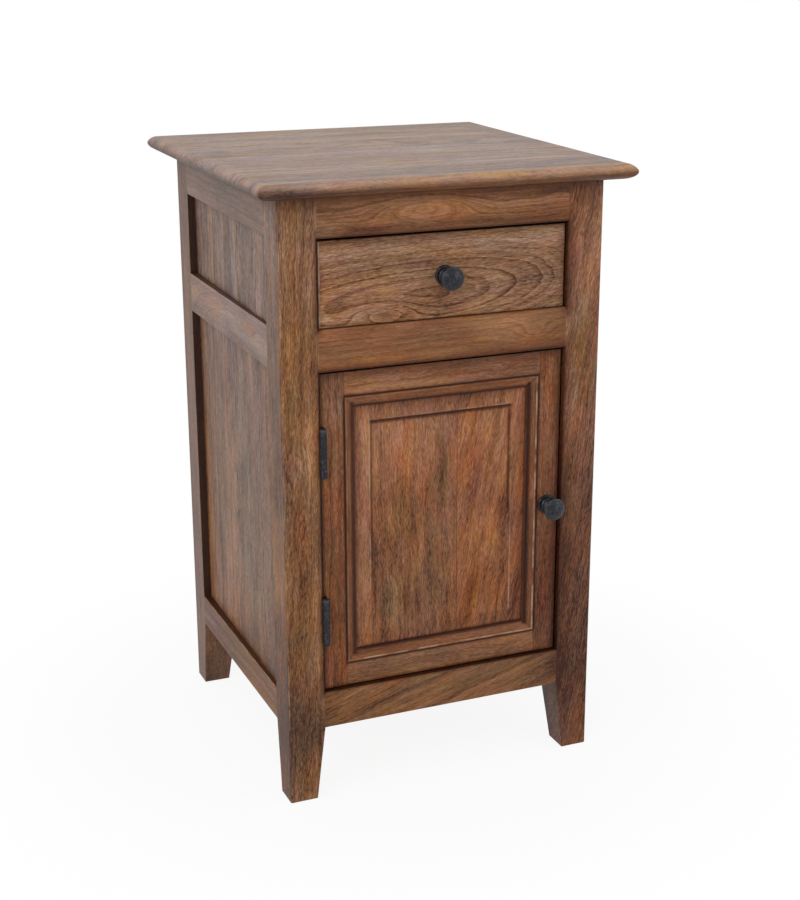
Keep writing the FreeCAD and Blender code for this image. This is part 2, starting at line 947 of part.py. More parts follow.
catch_y = door_back_y + strike_thickness + catch_air_gap
catch_z = door_top - catch_drop
strike_x = door_right - strike_width / 2


def catch_wood_screws():
    """The two screws that hold the catch to the latch post."""
    x = inner_x - catch_flange
    y = catch_y + catch_depth / 2
    reach = catch_height / 2 - catch_screw_inset
    return [
        wood_screw(catch_screw, FreeCAD.Vector(x, y, catch_z + side * reach), X)
        for side in (-1, 1)
    ]


def magnet_catch():
    """The catch: a case on a flange with two screw holes."""
    flange = block(
        inner_x - catch_flange, inner_x, catch_y, catch_y + catch_depth,
        catch_z - catch_height / 2, catch_z + catch_height / 2,
    )
    case = block(
        inner_x - catch_body_width, inner_x, catch_y, catch_y + catch_depth,
        catch_z - catch_body_height / 2, catch_z + catch_body_height / 2,
    )
    return cut_all(flange.fuse(case).removeSplitter(), catch_wood_screws())


def strike_wood_screw():
    """The screw through the strike plate into the door."""
    y = door_back_y + strike_thickness
    return wood_screw(strike_screw, FreeCAD.Vector(strike_x, y, catch_z), -Y)


def strike_plate():
    """The steel plate on the back of the door that the magnet holds."""
    plate = block(
        strike_x - strike_width / 2, strike_x + strike_width / 2,
        door_back_y, door_back_y + strike_thickness,
        catch_z - strike_height / 2, catch_z + strike_height / 2,
    )
    upright = [
        edge for edge in plate.Edges
        if abs(edge.Vertexes[0].Y - edge.Vertexes[-1].Y) > strike_thickness / 2
    ]
    return plate.makeFillet(strike_corner, upright).cut(strike_wood_screw())


# All pieces by name


def carcass_pieces():
    """Posts, rails, panels, floor and top."""
    grooves = panel_grooves() + [floor_shape(floor_tongue + joint_end_gap, 0)]
    pieces = {"top_panel": top_panel()}
    sides = {"left": -1, "right": 1}
    ends = {"front": -1, "back": 1}
    for end_name, sy in ends.items():
        for side_name, sx in sides.items():
            pieces[f"post_{end_name}_{side_name}"] = post(sx, sy)
    for name, (low, top) in front_rails.items():
        pieces[name] = rail("x", -1, low, top, grooves)
    for name, (low, top) in back_rails.items():
        pieces[name] = rail("x", 1, low, top, grooves)
    for side_name, sx in sides.items():
        for name, (low, top) in side_rails.items():
            pieces[f"{name}_{side_name}"] = rail("y", sx, low, top, grooves)
        for name, (low, top) in side_panels.items():
            pieces[f"{name}_{side_name}"] = panel("y", sx, low, top, 0)
    pieces["back_panel"] = panel("x", 1, *back_panel_span, 0)
    pieces["cabinet_floor"] = floor_shape(floor_tongue, floor_post_gap)
    for name in ("post_front_left", "post_front_right"):
        tools = hinge_screws(-1) if name.endswith("left") else catch_wood_screws()
        pieces[name] = cut_all(pieces[name], tools)
    return pieces


def inner_pieces():
    """Cleats, runners, kickers, stops and the top's screws."""
    return {
        "top_cleat_front": top_cleat(-1),
        "top_cleat_back": top_cleat(1),
        "top_screws": Part.makeCompound(cleat_screws()),
        "drawer_runner_left": drawer_runner(),
        "drawer_runner_right": mirror_x(drawer_runner()),
        "drawer_kicker_left": drawer_kicker(),
        "drawer_kicker_right": mirror_x(drawer_kicker()),
        "drawer_stops": Part.makeCompound([drawer_stop(), mirror_x(drawer_stop())]),
    }


def drawer_pieces():
    """The drawer's boards, knob and knob screw."""
    return {
        "drawer_front": drawer_front(),
        "drawer_side_left": drawer_side(),
        "drawer_side_right": mirror_x(drawer_side()),
        "drawer_back": drawer_back(),
        "drawer_bottom": drawer_bottom(0),
        "drawer_knob": knob(0, drawer_face_y, drawer_mid_z),
        "drawer_knob_screw": knob_screw(
            0, drawer_face_y, drawer_mid_z, drawer_front_thickness
        ),
    }


def door_pieces():
    """The door's frame, panel, mouldings and hardware."""
    pieces = {
        "door_stile_hinge_side": door_stile(-1),
        "door_stile_latch_side": door_stile(1),
        "door_panel": door_panel(),
        "door_knob": knob(knob_x, door_face_y, knob_z),
        "door_knob_screw": knob_screw(knob_x, door_face_y, knob_z, door_thickness),
        "strike_plate": strike_plate(),
        "strike_screw": strike_wood_screw(),
        "hinge_door_screws": Part.makeCompound(hinge_screws(1)),
    }
    for name, (low, top, outer) in door_rails.items():
        pieces[name] = door_rail(low, top, outer)
    for name in ("top", "bottom", "left", "right"):
        pieces[f"door_moulding_{name}"] = door_moulding(name)
    return pieces


def hinge_pieces():
    """Both hinges' leaves and pins, the post's screws and the catch."""
    pieces = {
        "hinge_post_screws": Part.makeCompound(hinge_screws(-1)),
        "hinge_pins": Part.makeCompound([hinge_pin(z) for z in hinge_levels.values()]),
        "magnet_catch": magnet_catch(),
        "catch_screws": Part.makeCompound(catch_wood_screws()),
    }
    for name, z in hinge_levels.items():
        pieces[f"{name}_hinge_post_leaf"] = hinge_leaf(z, "post")
        pieces[f"{name}_hinge_door_leaf"] = hinge_leaf(z, "door")
    return pieces


def main():
    """Build every piece and write one file each."""
    os.makedirs("parts", exist_ok=True)
    pieces = {}
    for group in (carcass_pieces, inner_pieces, drawer_pieces, door_pieces, hinge_pieces):
        pieces.update(group())
    for name, shape in pieces.items():
        shape.exportStep(f"parts/{name}.step")
    print(len(pieces), "pieces written")


main()
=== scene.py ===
import logging
import math
from dataclasses import dataclass, field, replace
from enum import Enum
from functools import reduce
from typing import Iterable, Optional, Sequence, Union

import bpy
import numpy as np
from mathutils import Matrix, Vector


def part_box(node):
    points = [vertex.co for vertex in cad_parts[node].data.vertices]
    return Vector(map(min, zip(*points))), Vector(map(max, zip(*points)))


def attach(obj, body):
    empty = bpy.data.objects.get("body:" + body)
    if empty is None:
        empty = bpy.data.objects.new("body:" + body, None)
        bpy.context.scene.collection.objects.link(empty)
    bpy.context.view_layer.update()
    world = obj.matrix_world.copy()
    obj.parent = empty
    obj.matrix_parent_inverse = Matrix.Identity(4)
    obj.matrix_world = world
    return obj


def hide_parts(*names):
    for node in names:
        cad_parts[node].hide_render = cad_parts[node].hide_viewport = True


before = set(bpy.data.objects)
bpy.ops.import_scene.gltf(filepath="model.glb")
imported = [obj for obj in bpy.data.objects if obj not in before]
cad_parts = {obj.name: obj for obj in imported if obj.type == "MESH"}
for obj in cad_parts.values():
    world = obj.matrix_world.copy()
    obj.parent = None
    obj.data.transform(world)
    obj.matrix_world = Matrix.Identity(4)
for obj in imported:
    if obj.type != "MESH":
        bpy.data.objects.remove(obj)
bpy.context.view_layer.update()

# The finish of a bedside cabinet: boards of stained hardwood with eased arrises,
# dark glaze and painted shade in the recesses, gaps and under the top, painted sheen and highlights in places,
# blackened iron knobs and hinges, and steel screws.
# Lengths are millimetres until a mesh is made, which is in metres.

LOG = logging.getLogger("cabinet")
MM = 0.001

# The mesh on a rounded edge, past it, and where patches meet
ARC_STEPS = 4
BESIDE_EDGE = np.array([0.7, 1.6, 3.0, 5.0, 8.0, 12.0])
WELD_DIGITS = 4

# Glaze and painted shade: the skin of a darkened wall, how strongly they take red, green and blue, and glue
# lines
WALL_SKIN = 0.3
GLAZE_AND_SHADE_DEPTHS = (3.0, 3.9, 4.8)
JOINT_GLAZE = 0.22
# The colour of bare wood on worn arrises, also used for painted highlights along some edges
BARE_WOOD_AND_HIGHLIGHT = (188, 154, 128)

# Bumps: their depth in metres, and how much of it shows on wood and on iron
BUMP_DEPTH = 0.0003
GRAIN_RELIEF = 0.35
IRON_RELIEF = 0.5

Array = np.ndarray
Socket = bpy.types.NodeSocket
Number = Union[float, Socket]


class Axis(Enum):
    """The three directions of the frame."""

    X = 0
    Y = 1
    Z = 2


def box(node: str) -> tuple[Array, Array]:
    """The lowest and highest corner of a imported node, in millimetres.

    Args:
        node: The node's name.

    Returns:
        Two arrays of three numbers.
    """
    low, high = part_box(node)
    return np.array(low) / MM, np.array(high) / MM


def linear(red: float, green: float, blue: float) -> tuple[float, float, float, float]:
    """A screen's colour as linear light.

    Args:
        red: Red from 0 to 255.
        green: Green.
        blue: Blue.

    Returns:
        The three as linear light, with an alpha of 1.
    """
    parts = np.array([red, green, blue]) / 255
    low = parts / 12.92
    high = ((parts + 0.055) / 1.055) ** 2.4
    return (*np.where(parts <= 0.04045, low, high).tolist(), 1.0)


# Surfaces


@dataclass
class Surface:
    """A closed surface: points, faces of four and three corners, and wear per point, which in places also
    paints highlights.
    """

    points: Array
    quads: Array
    triangles: Array
    wear: Array

    def turned_outward(self) -> "Surface":
        """The surface with its faces pointing out.

        The sum over the faces of the first corner's dot product with the cross
        product of the next two is six times the volume, so its sign gives the side.

        Returns:
            This surface, with its faces reversed where the volume was negative.
        """
        volume = 0.0
        for corners in (self.quads[:, [0, 1, 2]], self.quads[:, [0, 2, 3]], self.triangles):
            a, b, c = (self.points[corners[:, i]] for i in range(3))
            volume += float((a * np.cross(b, c)).sum())
        if volume < 0:
            self.quads = self.quads[:, ::-1]
            self.triangles = self.triangles[:, ::-1]
        return self

    def joined(self, other: "Surface") -> "Surface":
        """This surface and another as one.

        Args:
            other: The surface to add.

        Returns:
            A new surface that holds both.
        """
        shift = len(self.points)
        return Surface(
            np.concatenate([self.points, other.points]),
            np.concatenate([self.quads, other.quads + shift]),
            np.concatenate([self.triangles, other.triangles + shift]),
            np.concatenate([self.wear, other.wear]),
        )


def no_triangles() -> Array:
    """An empty list of triangles."""
    return np.zeros((0, 3), int)


def together(surfaces: Iterable[Surface]) -> Surface:
    """Several surfaces as one."""
    return reduce(Surface.joined, surfaces)


def walls(rows: int, ring: int) -> Array:
    """Faces of four corners between rows of points, each row closed into a ring.

    Args:
        rows: How many rows there are.
        ring: How many points each has.

    Returns:
        The faces' corners, as places in the list of points.
    """
    step, place = np.meshgrid(np.arange(rows - 1) * ring, np.arange(ring), indexing="ij")
    after = (place + 1) % ring
    corners = [step + place, step + after, step + ring + after, step + ring + place]
    return np.stack(corners, -1).reshape(-1, 4)


def stations(
    low: float, high: float, radii: Sequence[float] = (0.0,), pitch: float = 14.0,
    marks: Sequence[float] = (),
) -> Array:
    """Places along a line, close together beside its ends and beside marks.

    Over a rounded end they stand at the end less radius times one minus the
    tangent of angles from 0 to 45 degrees, which spreads them evenly on the arc.

    Args:
        low: The line's lower end.
        high: Its upper end.
        radii: Every radius that rounds its ends.
        pitch: The widest spacing, about.
        marks: Places within the line that need the same closeness.

    Returns:
        The places in rising order.
    """
    low, high = round(float(low), WELD_DIGITS), round(float(high), WELD_DIGITS)
    share = 1 - np.tan(np.linspace(0, math.pi / 4, ARC_STEPS + 1))
    arc = np.concatenate([radius * share for radius in radii])
    near = np.concatenate([arc, max(radii) + BESIDE_EDGE])
    middle = np.arange(low, high, (high - low) / max(1, round((high - low) / pitch)))
    parts = [low + near, high - near, middle]
    for mark in marks:
        parts += [mark + BESIDE_EDGE, mark - BESIDE_EDGE, np.array([mark])]
    places = np.unique(np.round(np.concatenate(parts), WELD_DIGITS))
    places = places[(places >= low) & (places <= high)]
    fixed = np.round(np.concatenate([low + arc, high - arc, np.array(marks, float)]), WELD_DIGITS)
    keep = np.ones(len(places), bool)
    close = np.diff(places) < 0.25
    is_fixed = np.isin(places, fixed)
    keep[1:] &= ~(close & ~is_fixed[1:])
    keep[:-1] &= ~(close & is_fixed[1:] & ~is_fixed[:-1])
    return places[keep]


@dataclass
class Levels:
    """The levels of a loft: a height, a rectangle and a share of wear for each."""

    height: Array
    low_u: Array
    high_u: Array
    low_v: Array
    high_v: Array
    wear: Array


def straight_levels(
    heights: Array, section: tuple[float, float, float, float], radius: float = 0.0,
    ends: tuple[bool, bool] = (True, True),
) -> Levels:
    """Levels of a straight bar, drawn in over a quarter round at its ends.

    Within radius of an end, at a depth d from it, the section is drawn in by
    radius less the root of radius squared less (radius - d) squared.

    Args:
        heights: The levels' places along the bar.
        section: The rectangle as low u, high u, low v, high v.
        radius: The radius at the ends.
        ends: Whether the low and the high end are rounded.

    Returns:
        The levels.
    """
    inset, wear = np.zeros(len(heights)), np.zeros(len(heights))
    if radius > 0:
        depths = [heights - heights[0], heights[-1] - heights]
        for depth, rounded in zip(depths, ends):
            short = np.clip(radius - depth, 0, radius)
            if rounded:
                inset = np.maximum(inset, radius - np.sqrt(radius**2 - short**2))
                wear = np.maximum(wear, np.sin(math.pi * short / radius) ** 0.5)
    low_u, high_u, low_v, high_v = section
    return Levels(heights, low_u + inset, high_u - inset, low_v + inset, high_v - inset, wear)


def nested_levels(
    heights: Array, tongue: Sequence[float], opening: Sequence[float], inset: Array, wear: Array
) -> Levels:
    """Levels of a panel: a plain tongue, then rectangles drawn in from the panel's opening.

    Args:
        heights: The levels' places, two for the tongue and one for each rectangle.
        tongue: The tongue's rectangle as low u, high u, low v, high v.
        opening: The opening's, the same way.
        inset: How far each rectangle is drawn in.
        wear: The wear of every level.

    Returns:
        The levels.
    """
    ways = zip(tongue, opening, (1, -1, 1, -1))
    return Levels(heights, *(np.concatenate([[edge] * 2, at + way * inset]) for edge, at, way in ways), wear)


def loft(
    u: Array, v: Array, levels: Levels, radius: Union[float, Array], order: Sequence[int]
) -> Surface:
    """A closed bar through rectangles, with rounded corners and gridded ends.

    A point of the rectangle that lies within radius of a corner, du and dv past
    the straight sides, moves to (du, dv) times the larger of them over their
    length, which turns the square corner into an arc. The rectangle is then
    scaled to each level's.

    Args:
        u: Places across the first section axis.
        v: Places across the second.
        levels: The levels along the loft.
        radius: The radius of the section's corners, or one for each corner in two
            rows, low u and high u, by low v and high v.
        order: Which frame axis u, v and the loft run along.

    Returns:
        The surface, facing outward, with wear on its rounded corners.
    """
    centre_u, half_u = (u[0] + u[-1]) / 2, (u[-1] - u[0]) / 2
    centre_v, half_v = (v[0] + v[-1]) / 2, (v[-1] - v[0]) / 2
    corners = np.broadcast_to(np.asarray(radius, float), (2, 2))

    def rounded(pu: Array, pv: Array) -> tuple[Array, Array, Array]:
        """Section points moved onto the corner arcs.

        Args:
            pu: Places across the first section axis.
            pv: Places across the second.

        Returns:
            Both as shares of the half sizes, and the wear, most in an arc's middle.
        """
        own = corners[(pu > centre_u).astype(int), (pv > centre_v).astype(int)]
        du = np.clip(np.abs(pu - centre_u) - (half_u - own), 0, None)
        dv = np.clip(np.abs(pv - centre_v) - (half_v - own), 0, None)
        length = np.maximum(np.hypot(du, dv), 1e-12)
        share = np.where((du > 0) & (dv > 0), np.maximum(du, dv) / length, 1.0)
        new_u = centre_u + np.sign(pu - centre_u) * (np.abs(pu - centre_u) - du * (1 - share))
        new_v = centre_v + np.sign(pv - centre_v) * (np.abs(pv - centre_v) - dv * (1 - share))
        worn = np.where(own > 0.1, np.minimum(du, dv) / np.maximum(own, 1e-9), 0.0)
        return (new_u - centre_u) / half_u, (new_v - centre_v) / half_v, worn

    def placed(su: Array, sv: Array, level: Array) -> Array:
        """Shares of the half sizes, scaled to the levels' rectangles.

        Args:
            su: Shares across the first section axis.
            sv: Shares across the second.
            level: The level of each.

        Returns:
            Points along u, v and the loft.
        """
        mid_u = (levels.low_u + levels.high_u)[level] / 2
        mid_v = (levels.low_v + levels.high_v)[level] / 2
        wide = (levels.high_u - levels.low_u)[level] / 2
        deep = (levels.high_v - levels.low_v)[level] / 2
        return np.stack([mid_u + su * wide, mid_v + sv * deep, levels.height[level]], -1)

    loop_u = np.concatenate([u[:-1], np.full(len(v) - 1, u[-1]), u[:0:-1], np.full(len(v) - 1, u[0])])
    loop_v = np.concatenate([np.full(len(u) - 1, v[0]), v[:-1], np.full(len(u) - 1, v[-1]), v[:0:-1]])
    count, ring = len(levels.height), len(loop_u)
    su, sv, worn = rounded(loop_u, loop_v)
    level = np.repeat(np.arange(count), ring)
    side = placed(np.tile(su, count), np.tile(sv, count), level)
    side_wear = np.maximum(np.tile(worn, count), levels.wear[level])
    points, wear, quads = [side], [side_wear], [walls(count, ring)]
    grid_u, grid_v = (g.ravel() for g in np.meshgrid(u, v, indexing="ij"))
    cap_u, cap_v, _ = rounded(grid_u, grid_v)
    rows, columns = np.meshgrid(np.arange(len(u) - 1), np.arange(len(v) - 1), indexing="ij")
    corner = rows * len(v) + columns
    cap = np.stack([corner, corner + 1, corner + len(v) + 1, corner + len(v)], -1).reshape(-1, 4)
    for end, faces in ((0, cap), (count - 1, cap[:, ::-1])):
        shift = sum(len(p) for p in points)
        points.append(placed(cap_u, cap_v, np.full(len(grid_u), end)))
        wear.append(np.zeros(len(grid_u)))
        quads.append(faces + shift)
    return welded(np.concatenate(points), np.concatenate(quads), np.concatenate(wear), order)


def welded(points: Array, quads: Array, wear: Array, order: Sequence[int]) -> Surface:
    """One closed surface from patches that share their borders.

    Args:
        points: Points along the patch's own axes.
        quads: Faces of all patches.
        wear: Wear per point.
        order: Which frame axis each of the patch's axes is.

    Returns:
        The surface in the frame, with shared points merged.
    """
    placed = np.empty_like(points)
    placed[:, list(order)] = points
    keys = np.round(placed, WELD_DIGITS)
    _, first, inverse = np.unique(keys, axis=0, return_index=True, return_inverse=True)
    inverse = inverse.reshape(-1)
    most = np.zeros(len(first))
    np.maximum.at(most, inverse, wear)
    return Surface(placed[first], inverse[quads], no_triangles(), most).turned_outward()


def revolved(profile: Array, sides: int, base: Array, axis: Axis, sign: float) -> Surface:
    """A turned form with closed poles.

    Each profile point (radius, distance) gives a ring of points at radius times
    the cosine and sine of evenly spaced angles, at its distance along the axis.

    Args:
        profile: Radii and distances from foot to crown, without the two poles.
        sides: Points in a ring.
        base: The foot's centre.
        axis: The axis of the turning.
        sign: 1 or -1, the way the distance runs along the axis.

    Returns:
        The surface, facing outward.
    """
    angles = np.linspace(0, math.tau, sides, endpoint=False)
    radius, distance = profile[:, 0], profile[:, 1]
    ways = (
        np.outer(radius, np.cos(angles)), np.outer(radius, np.sin(angles)),
        np.repeat(distance[:, None], sides, 1) * sign,
    )
    rings = np.stack(ways, -1).reshape(-1, 3)
    poles = np.array([[0, 0, distance[0] * sign], [0, 0, distance[-1] * sign]])
    ring, last = np.arange(sides), (len(radius) - 1) * sides
    foot = np.stack([np.full(sides, len(rings)), (ring + 1) % sides, ring], -1)
    crown = np.stack([np.full(sides, len(rings) + 1), last + ring, last + (ring + 1) % sides], -1)
    local = np.concatenate([rings, poles])
    order = [(axis.value + 1) % 3, (axis.value + 2) % 3, axis.value]
    placed = np.empty_like(local)
    placed[:, order] = local
    fans = np.concatenate([foot, crown])
    return Surface(placed + base, walls(len(radius), sides), fans, np.zeros(len(local))).turned_outward()


def bend(start: tuple[float, float], end: tuple[float, float], bow: float, count: int = 8) -> Array:
    """A curve of even steps, pushed sideways by a half sine wave.

    Args:
        start: Where it starts.
        end: Where it ends.
        bow: How far its middle is pushed to the right of the way along.
        count: How many steps it has.

    Returns:
        The points after start, up to end.
    """
    first, last = np.array(start), np.array(end)
    share = np.linspace(0, 1, count + 1)[1:, None]
    way = last - first
    side = np.array([way[1], -way[0]]) / np.hypot(*way)
    return first + way * share + side * bow * np.sin(math.pi * share)


# Dark glaze and painted shade


@dataclass
class GlazeAndShade:
    """Where dark stain has gathered and where shade is painted: lines in space, each with a reach and a
    strength.
    """

    starts: list[Array] = field(default_factory=list)
    ends: list[Array] = field(default_factory=list)
    reaches: list[float] = field(default_factory=list)
    strengths: list[float] = field(default_factory=list)
    slabs: list[tuple[Array, Array, int, tuple[float, float]]] = field(default_factory=list)

    def line(self, start: Sequence[float], end: Sequence[float], reach: float, strength: float) -> None:
        """Add one line.

        Args:
            start: Where it starts.
            end: Where it ends.
            reach: How far the glaze and painted shade spread.
            strength: How dark it is on the line.
        """
        self.starts.append(np.array(start, float))
        self.ends.append(np.array(end, float))
        self.reaches.append(reach)
        self.strengths.append(strength)

    def rectangle(
        self, plane: Axis, level: float, low: Sequence[float], high: Sequence[float],
        reach: float, strength: float, sides: str = "lrbt",
    ) -> None:
        """Add the sides of an upright or level rectangle.

        Args:
            plane: The axis that the rectangle is square to.
            level: Its place on that axis.
            low: The lower corner on the other two axes, in rising axis order.
            high: The upper corner there.
            reach: How far the glaze and painted shade spread.
            strength: How dark it is on the line.
            sides: Which sides: left, right, bottom, top.
        """
        corners = {
            "l": ((low[0], low[1]), (low[0], high[1])),
            "r": ((high[0], low[1]), (high[0], high[1])),
            "b": ((low[0], low[1]), (high[0], low[1])),
            "t": ((low[0], high[1]), (high[0], high[1])),
        }
        for side in sides:
            points = [np.insert(np.array(c, float), plane.value, level) for c in corners[side]]
            self.line(points[0], points[1], reach, strength)

    def outline(
        self, plane: Axis, level: float, low: Sequence[float], high: Sequence[float], *rows: Sequence[object]
    ) -> None:
        """Add a rectangle once for each row of a reach, a strength and, if not all, its sides."""
        for row in rows:
            self.rectangle(plane, level, low, high, *row)

    def walls(
        self, plane: Axis, depth: tuple[float, float], low: Sequence[float], high: Sequence[float],
        strengths: dict[str, tuple[float, float]],
    ) -> None:
        """Darken the walls of a recess all over with glaze and painted shade, more or less from one end to the
        other.

        Args:
            plane: The axis that the recess is sunk along.
            depth: Its two ends on that axis.
            low: The recess's lower corner on the other two axes, in rising axis order.
            high: The upper corner there.
            strengths: For each side, how dark it is at the wall's lower and higher end.
        """
        first, second = (axis for axis in range(3) if axis != plane.value)
        for side, shades in strengths.items():
            slab_low, slab_high = np.zeros(3), np.zeros(3)
            slab_low[plane.value], slab_high[plane.value] = min(depth), max(depth)
            slab_low[[first, second]], slab_high[[first, second]] = low, high
            across, run = (first, second) if side in "lr" else (second, first)
            level = (low if side in "lb" else high)[0 if side in "lr" else 1]
            slab_low[across], slab_high[across] = level, level
            self.slabs.append((slab_low - WALL_SKIN, slab_high + WALL_SKIN, run, shades))

    def amount(self, points: Array) -> Array:
        """How much glaze and painted shade each point holds.

        For each line it is strength times the exponential of minus the squared
        distance over the squared reach. On a glazed and shaded wall it goes straight from
        one end's strength to the other's. The largest of these counts.

        Args:
            points: Points in millimetres.

        Returns:
            One value per point, 0 where there is none.
        """
        most = np.zeros(len(points))
        for start, end, reach, strength in zip(self.starts, self.ends, self.reaches, self.strengths):
            way = end - start
            share = np.clip((points - start) @ way / max(way @ way, 1e-9), 0, 1)
            distance = np.linalg.norm(points - start - share[:, None] * way, axis=1)
            most = np.maximum(most, strength * np.exp(-((distance / reach) ** 2)))
        for low, high, run, (start_shade, end_shade) in self.slabs:
            inside = ((points > low) & (points < high)).all(axis=1)
            share = (points[:, run] - low[run]) / (high[run] - low[run])
            most = np.where(inside, np.maximum(most, start_shade + (end_shade - start_shade) * share), most)
        return most


# Finishes


class Sketch:
    """Adds nodes to one tree and joins them up."""

    def __init__(self, tree: bpy.types.NodeTree) -> None:
        """Start on a tree."""
        self.tree = tree

    def node(self, kind: str, **settings: object) -> bpy.types.Node:
        """Add a node and set its properties."""
        made = self.tree.nodes.new(kind)
        for name, value in settings.items():
            setattr(made, name, value)
        return made

    def join(self, source: object, target: Socket) -> None:
        """Feed a socket from another socket, or set it to a plain value."""
        if isinstance(source, bpy.types.NodeSocket):
            self.tree.links.new(source, target)
        elif source is not None:
            target.default_value = source

    def feed(self, kind: str, *values: object, **settings: object) -> Socket:
        """Add a node and feed its inputs in their order.

        Args:
            kind: The kind of node.
            values: What each input gets, None for one that is left alone.
            settings: The node's properties.

        Returns:
            The node's first output.
        """
        made = self.node(kind, **settings)
        for source, target in zip(values, made.inputs):
            self.join(source, target)
        return made.outputs[0]

    def math(self, operation: str, *inputs: Number, clamp: bool = False) -> Socket:
        """A sum, product or other function of numbers."""
        return self.feed("ShaderNodeMath", *inputs, operation=operation, use_clamp=clamp)

    def total(self, *parts: Number) -> Socket:
        """The sum of all parts."""
        return reduce(lambda first, second: self.math("ADD", first, second), parts)

    def product(self, *parts: Number) -> Socket:
        """The product of all parts."""
        return reduce(lambda first, second: self.math("MULTIPLY", first, second), parts)

    def step(self, value: Number, low: Number, high: float, start: Number = 0.0, end: Number = 1.0) -> Socket:
        """A smooth step from start to end as value goes from low to high."""
        return self.feed("ShaderNodeMapRange", value, low, high, start, end, interpolation_type="SMOOTHSTEP")

    def slope(self, value: Number, low: float, high: float) -> Socket:
        """A straight rise from 0 to 1 as value goes from low to high, level beyond."""
        return self.feed("ShaderNodeMapRange", value, low, high)

    def point(self, a: Number, b: Number, c: Number) -> Socket:
        """A vector from three numbers."""
        return self.feed("ShaderNodeCombineXYZ", a, b, c)

    def parts(self, vector: Socket) -> tuple[Socket, Socket, Socket]:
        """The three numbers of a vector."""
        made = self.node("ShaderNodeSeparateXYZ")
        self.join(vector, made.inputs[0])
        return tuple(made.outputs)

    def shrunk(self, ways: Sequence[Socket], length: float, width: float) -> Socket:
        """A point in cells of a length along its first way and a width along the others."""
        return self.point(*(self.product(way, 1 / size) for way, size in zip(ways, (length, width, width))))

    def noise(self, point: Socket, detail: float, roughness: float = 0.5) -> Socket:
        """Smooth noise, one cell per unit of the point."""
        return self.feed("ShaderNodeTexNoise", point, None, 1.0, detail, roughness)

    def coloured(self, noise: Socket) -> tuple[Socket, Socket, Socket]:
        """Three numbers of one noise, each with its own course."""
        return self.parts(noise.node.outputs[1])

    def swing(self, noise: Socket, *strengths: Number) -> Socket:
        """Noise less its middle, times its strengths."""
        return self.product(self.total(noise, -0.5), *strengths)

    def noise_line(self, place: Socket, detail: float, roughness: float = 0.5) -> Socket:
        """Smooth noise along a line."""
        return self.feed("ShaderNodeTexNoise", None, place, 1.0, detail, roughness, noise_dimensions="1D")

    def chance(self, place: Socket) -> Socket:
        """A random number for each value of place."""
        return self.feed("ShaderNodeTexWhiteNoise", None, place, noise_dimensions="1D")

    def mix(self, share: Number, first: object, second: object, blend: str = "MIX") -> Socket:
        """One colour going over into another.

        Args:
            share: How much of the second colour counts.
            first: The first colour.
            second: The second.
            blend: How they are blended.

        Returns:
            The colour.
        """
        made = self.node("ShaderNodeMix", data_type="RGBA", blend_type=blend)
        for source, place in ((share, 0), (first, 6), (second, 7)):
            self.join(source, made.inputs[place])
        return made.outputs[2]

    def blend(self, share: Socket, first: Socket, second: Socket, surface: Socket) -> None:
        """Feed a surface from one shader going over into another."""
        self.join(self.feed("ShaderNodeMixShader", share, first, second), surface)

    def attribute(self, name: str) -> Socket:
        """A value that the mesh carries on its points."""
        return self.node("ShaderNodeAttribute", attribute_name=name).outputs["Fac"]

    def place(self) -> tuple[Socket, Socket, Socket]:
        """The object coordinates in millimetres."""
        scaled = self.node("ShaderNodeVectorMath", operation="SCALE")
        self.join(self.node("ShaderNodeTexCoord").outputs["Object"], scaled.inputs[0])
        scaled.inputs["Scale"].default_value = 1 / MM
        return self.parts(scaled.outputs[0])

    def relief(self, height: Socket, strength: float, shader: bpy.types.Node) -> None:
        """Give a shader bumps.

        Args:
            height: How high the surface stands.
            strength: How much of that shows.
            shader: The shader.
        """
        bump = self.node("ShaderNodeBump")
        bump.inputs["Strength"].default_value = strength
        bump.inputs["Distance"].default_value = BUMP_DEPTH
        self.join(height, bump.inputs["Height"])
        self.join(bump.outputs[0], shader.inputs["Normal"])

    def seen(self) -> Socket:
        """1 for rays from the camera and in reflections, 0 for light on its way to the object."""
        path = self.node("ShaderNodeLightPath").outputs
        mirrored = self.math("MAXIMUM", path["Is Glossy Ray"], path["Is Transmission Ray"])
        return self.math("MAXIMUM", path["Is Camera Ray"], mirrored)


def fresh_material(name: str) -> tuple[bpy.types.Material, Sketch, bpy.types.Node]:
    """A new material with its sketch and its shader."""
    made = bpy.data.materials.new(name)
    made.use_nodes = True
    return made, Sketch(made.node_tree), made.node_tree.nodes["Principled BSDF"]


BOARD_NUMBERS = (
    "Bow", "Reach", "Soft", "Slope", "Lean", "Ring", "Wander", "Bands", "Lines", "Streaks", "Fibre", "Clouds",
    "Pores", "Blush", "Tone", "Seed",
)
SPOT_NUMBERS = ("Patch", "Patch Blush", "Patch Red", "Swell")
STAIN_COLOURS = ("Dark", "Body", "Light")
FIGURE_SOCKETS = {
    "Vector": ("Point", "Pith"), "Float": (*BOARD_NUMBERS, "Strip", *SPOT_NUMBERS, "GlazeAndShade", "Wear"),
    "Color": STAIN_COLOURS,
}


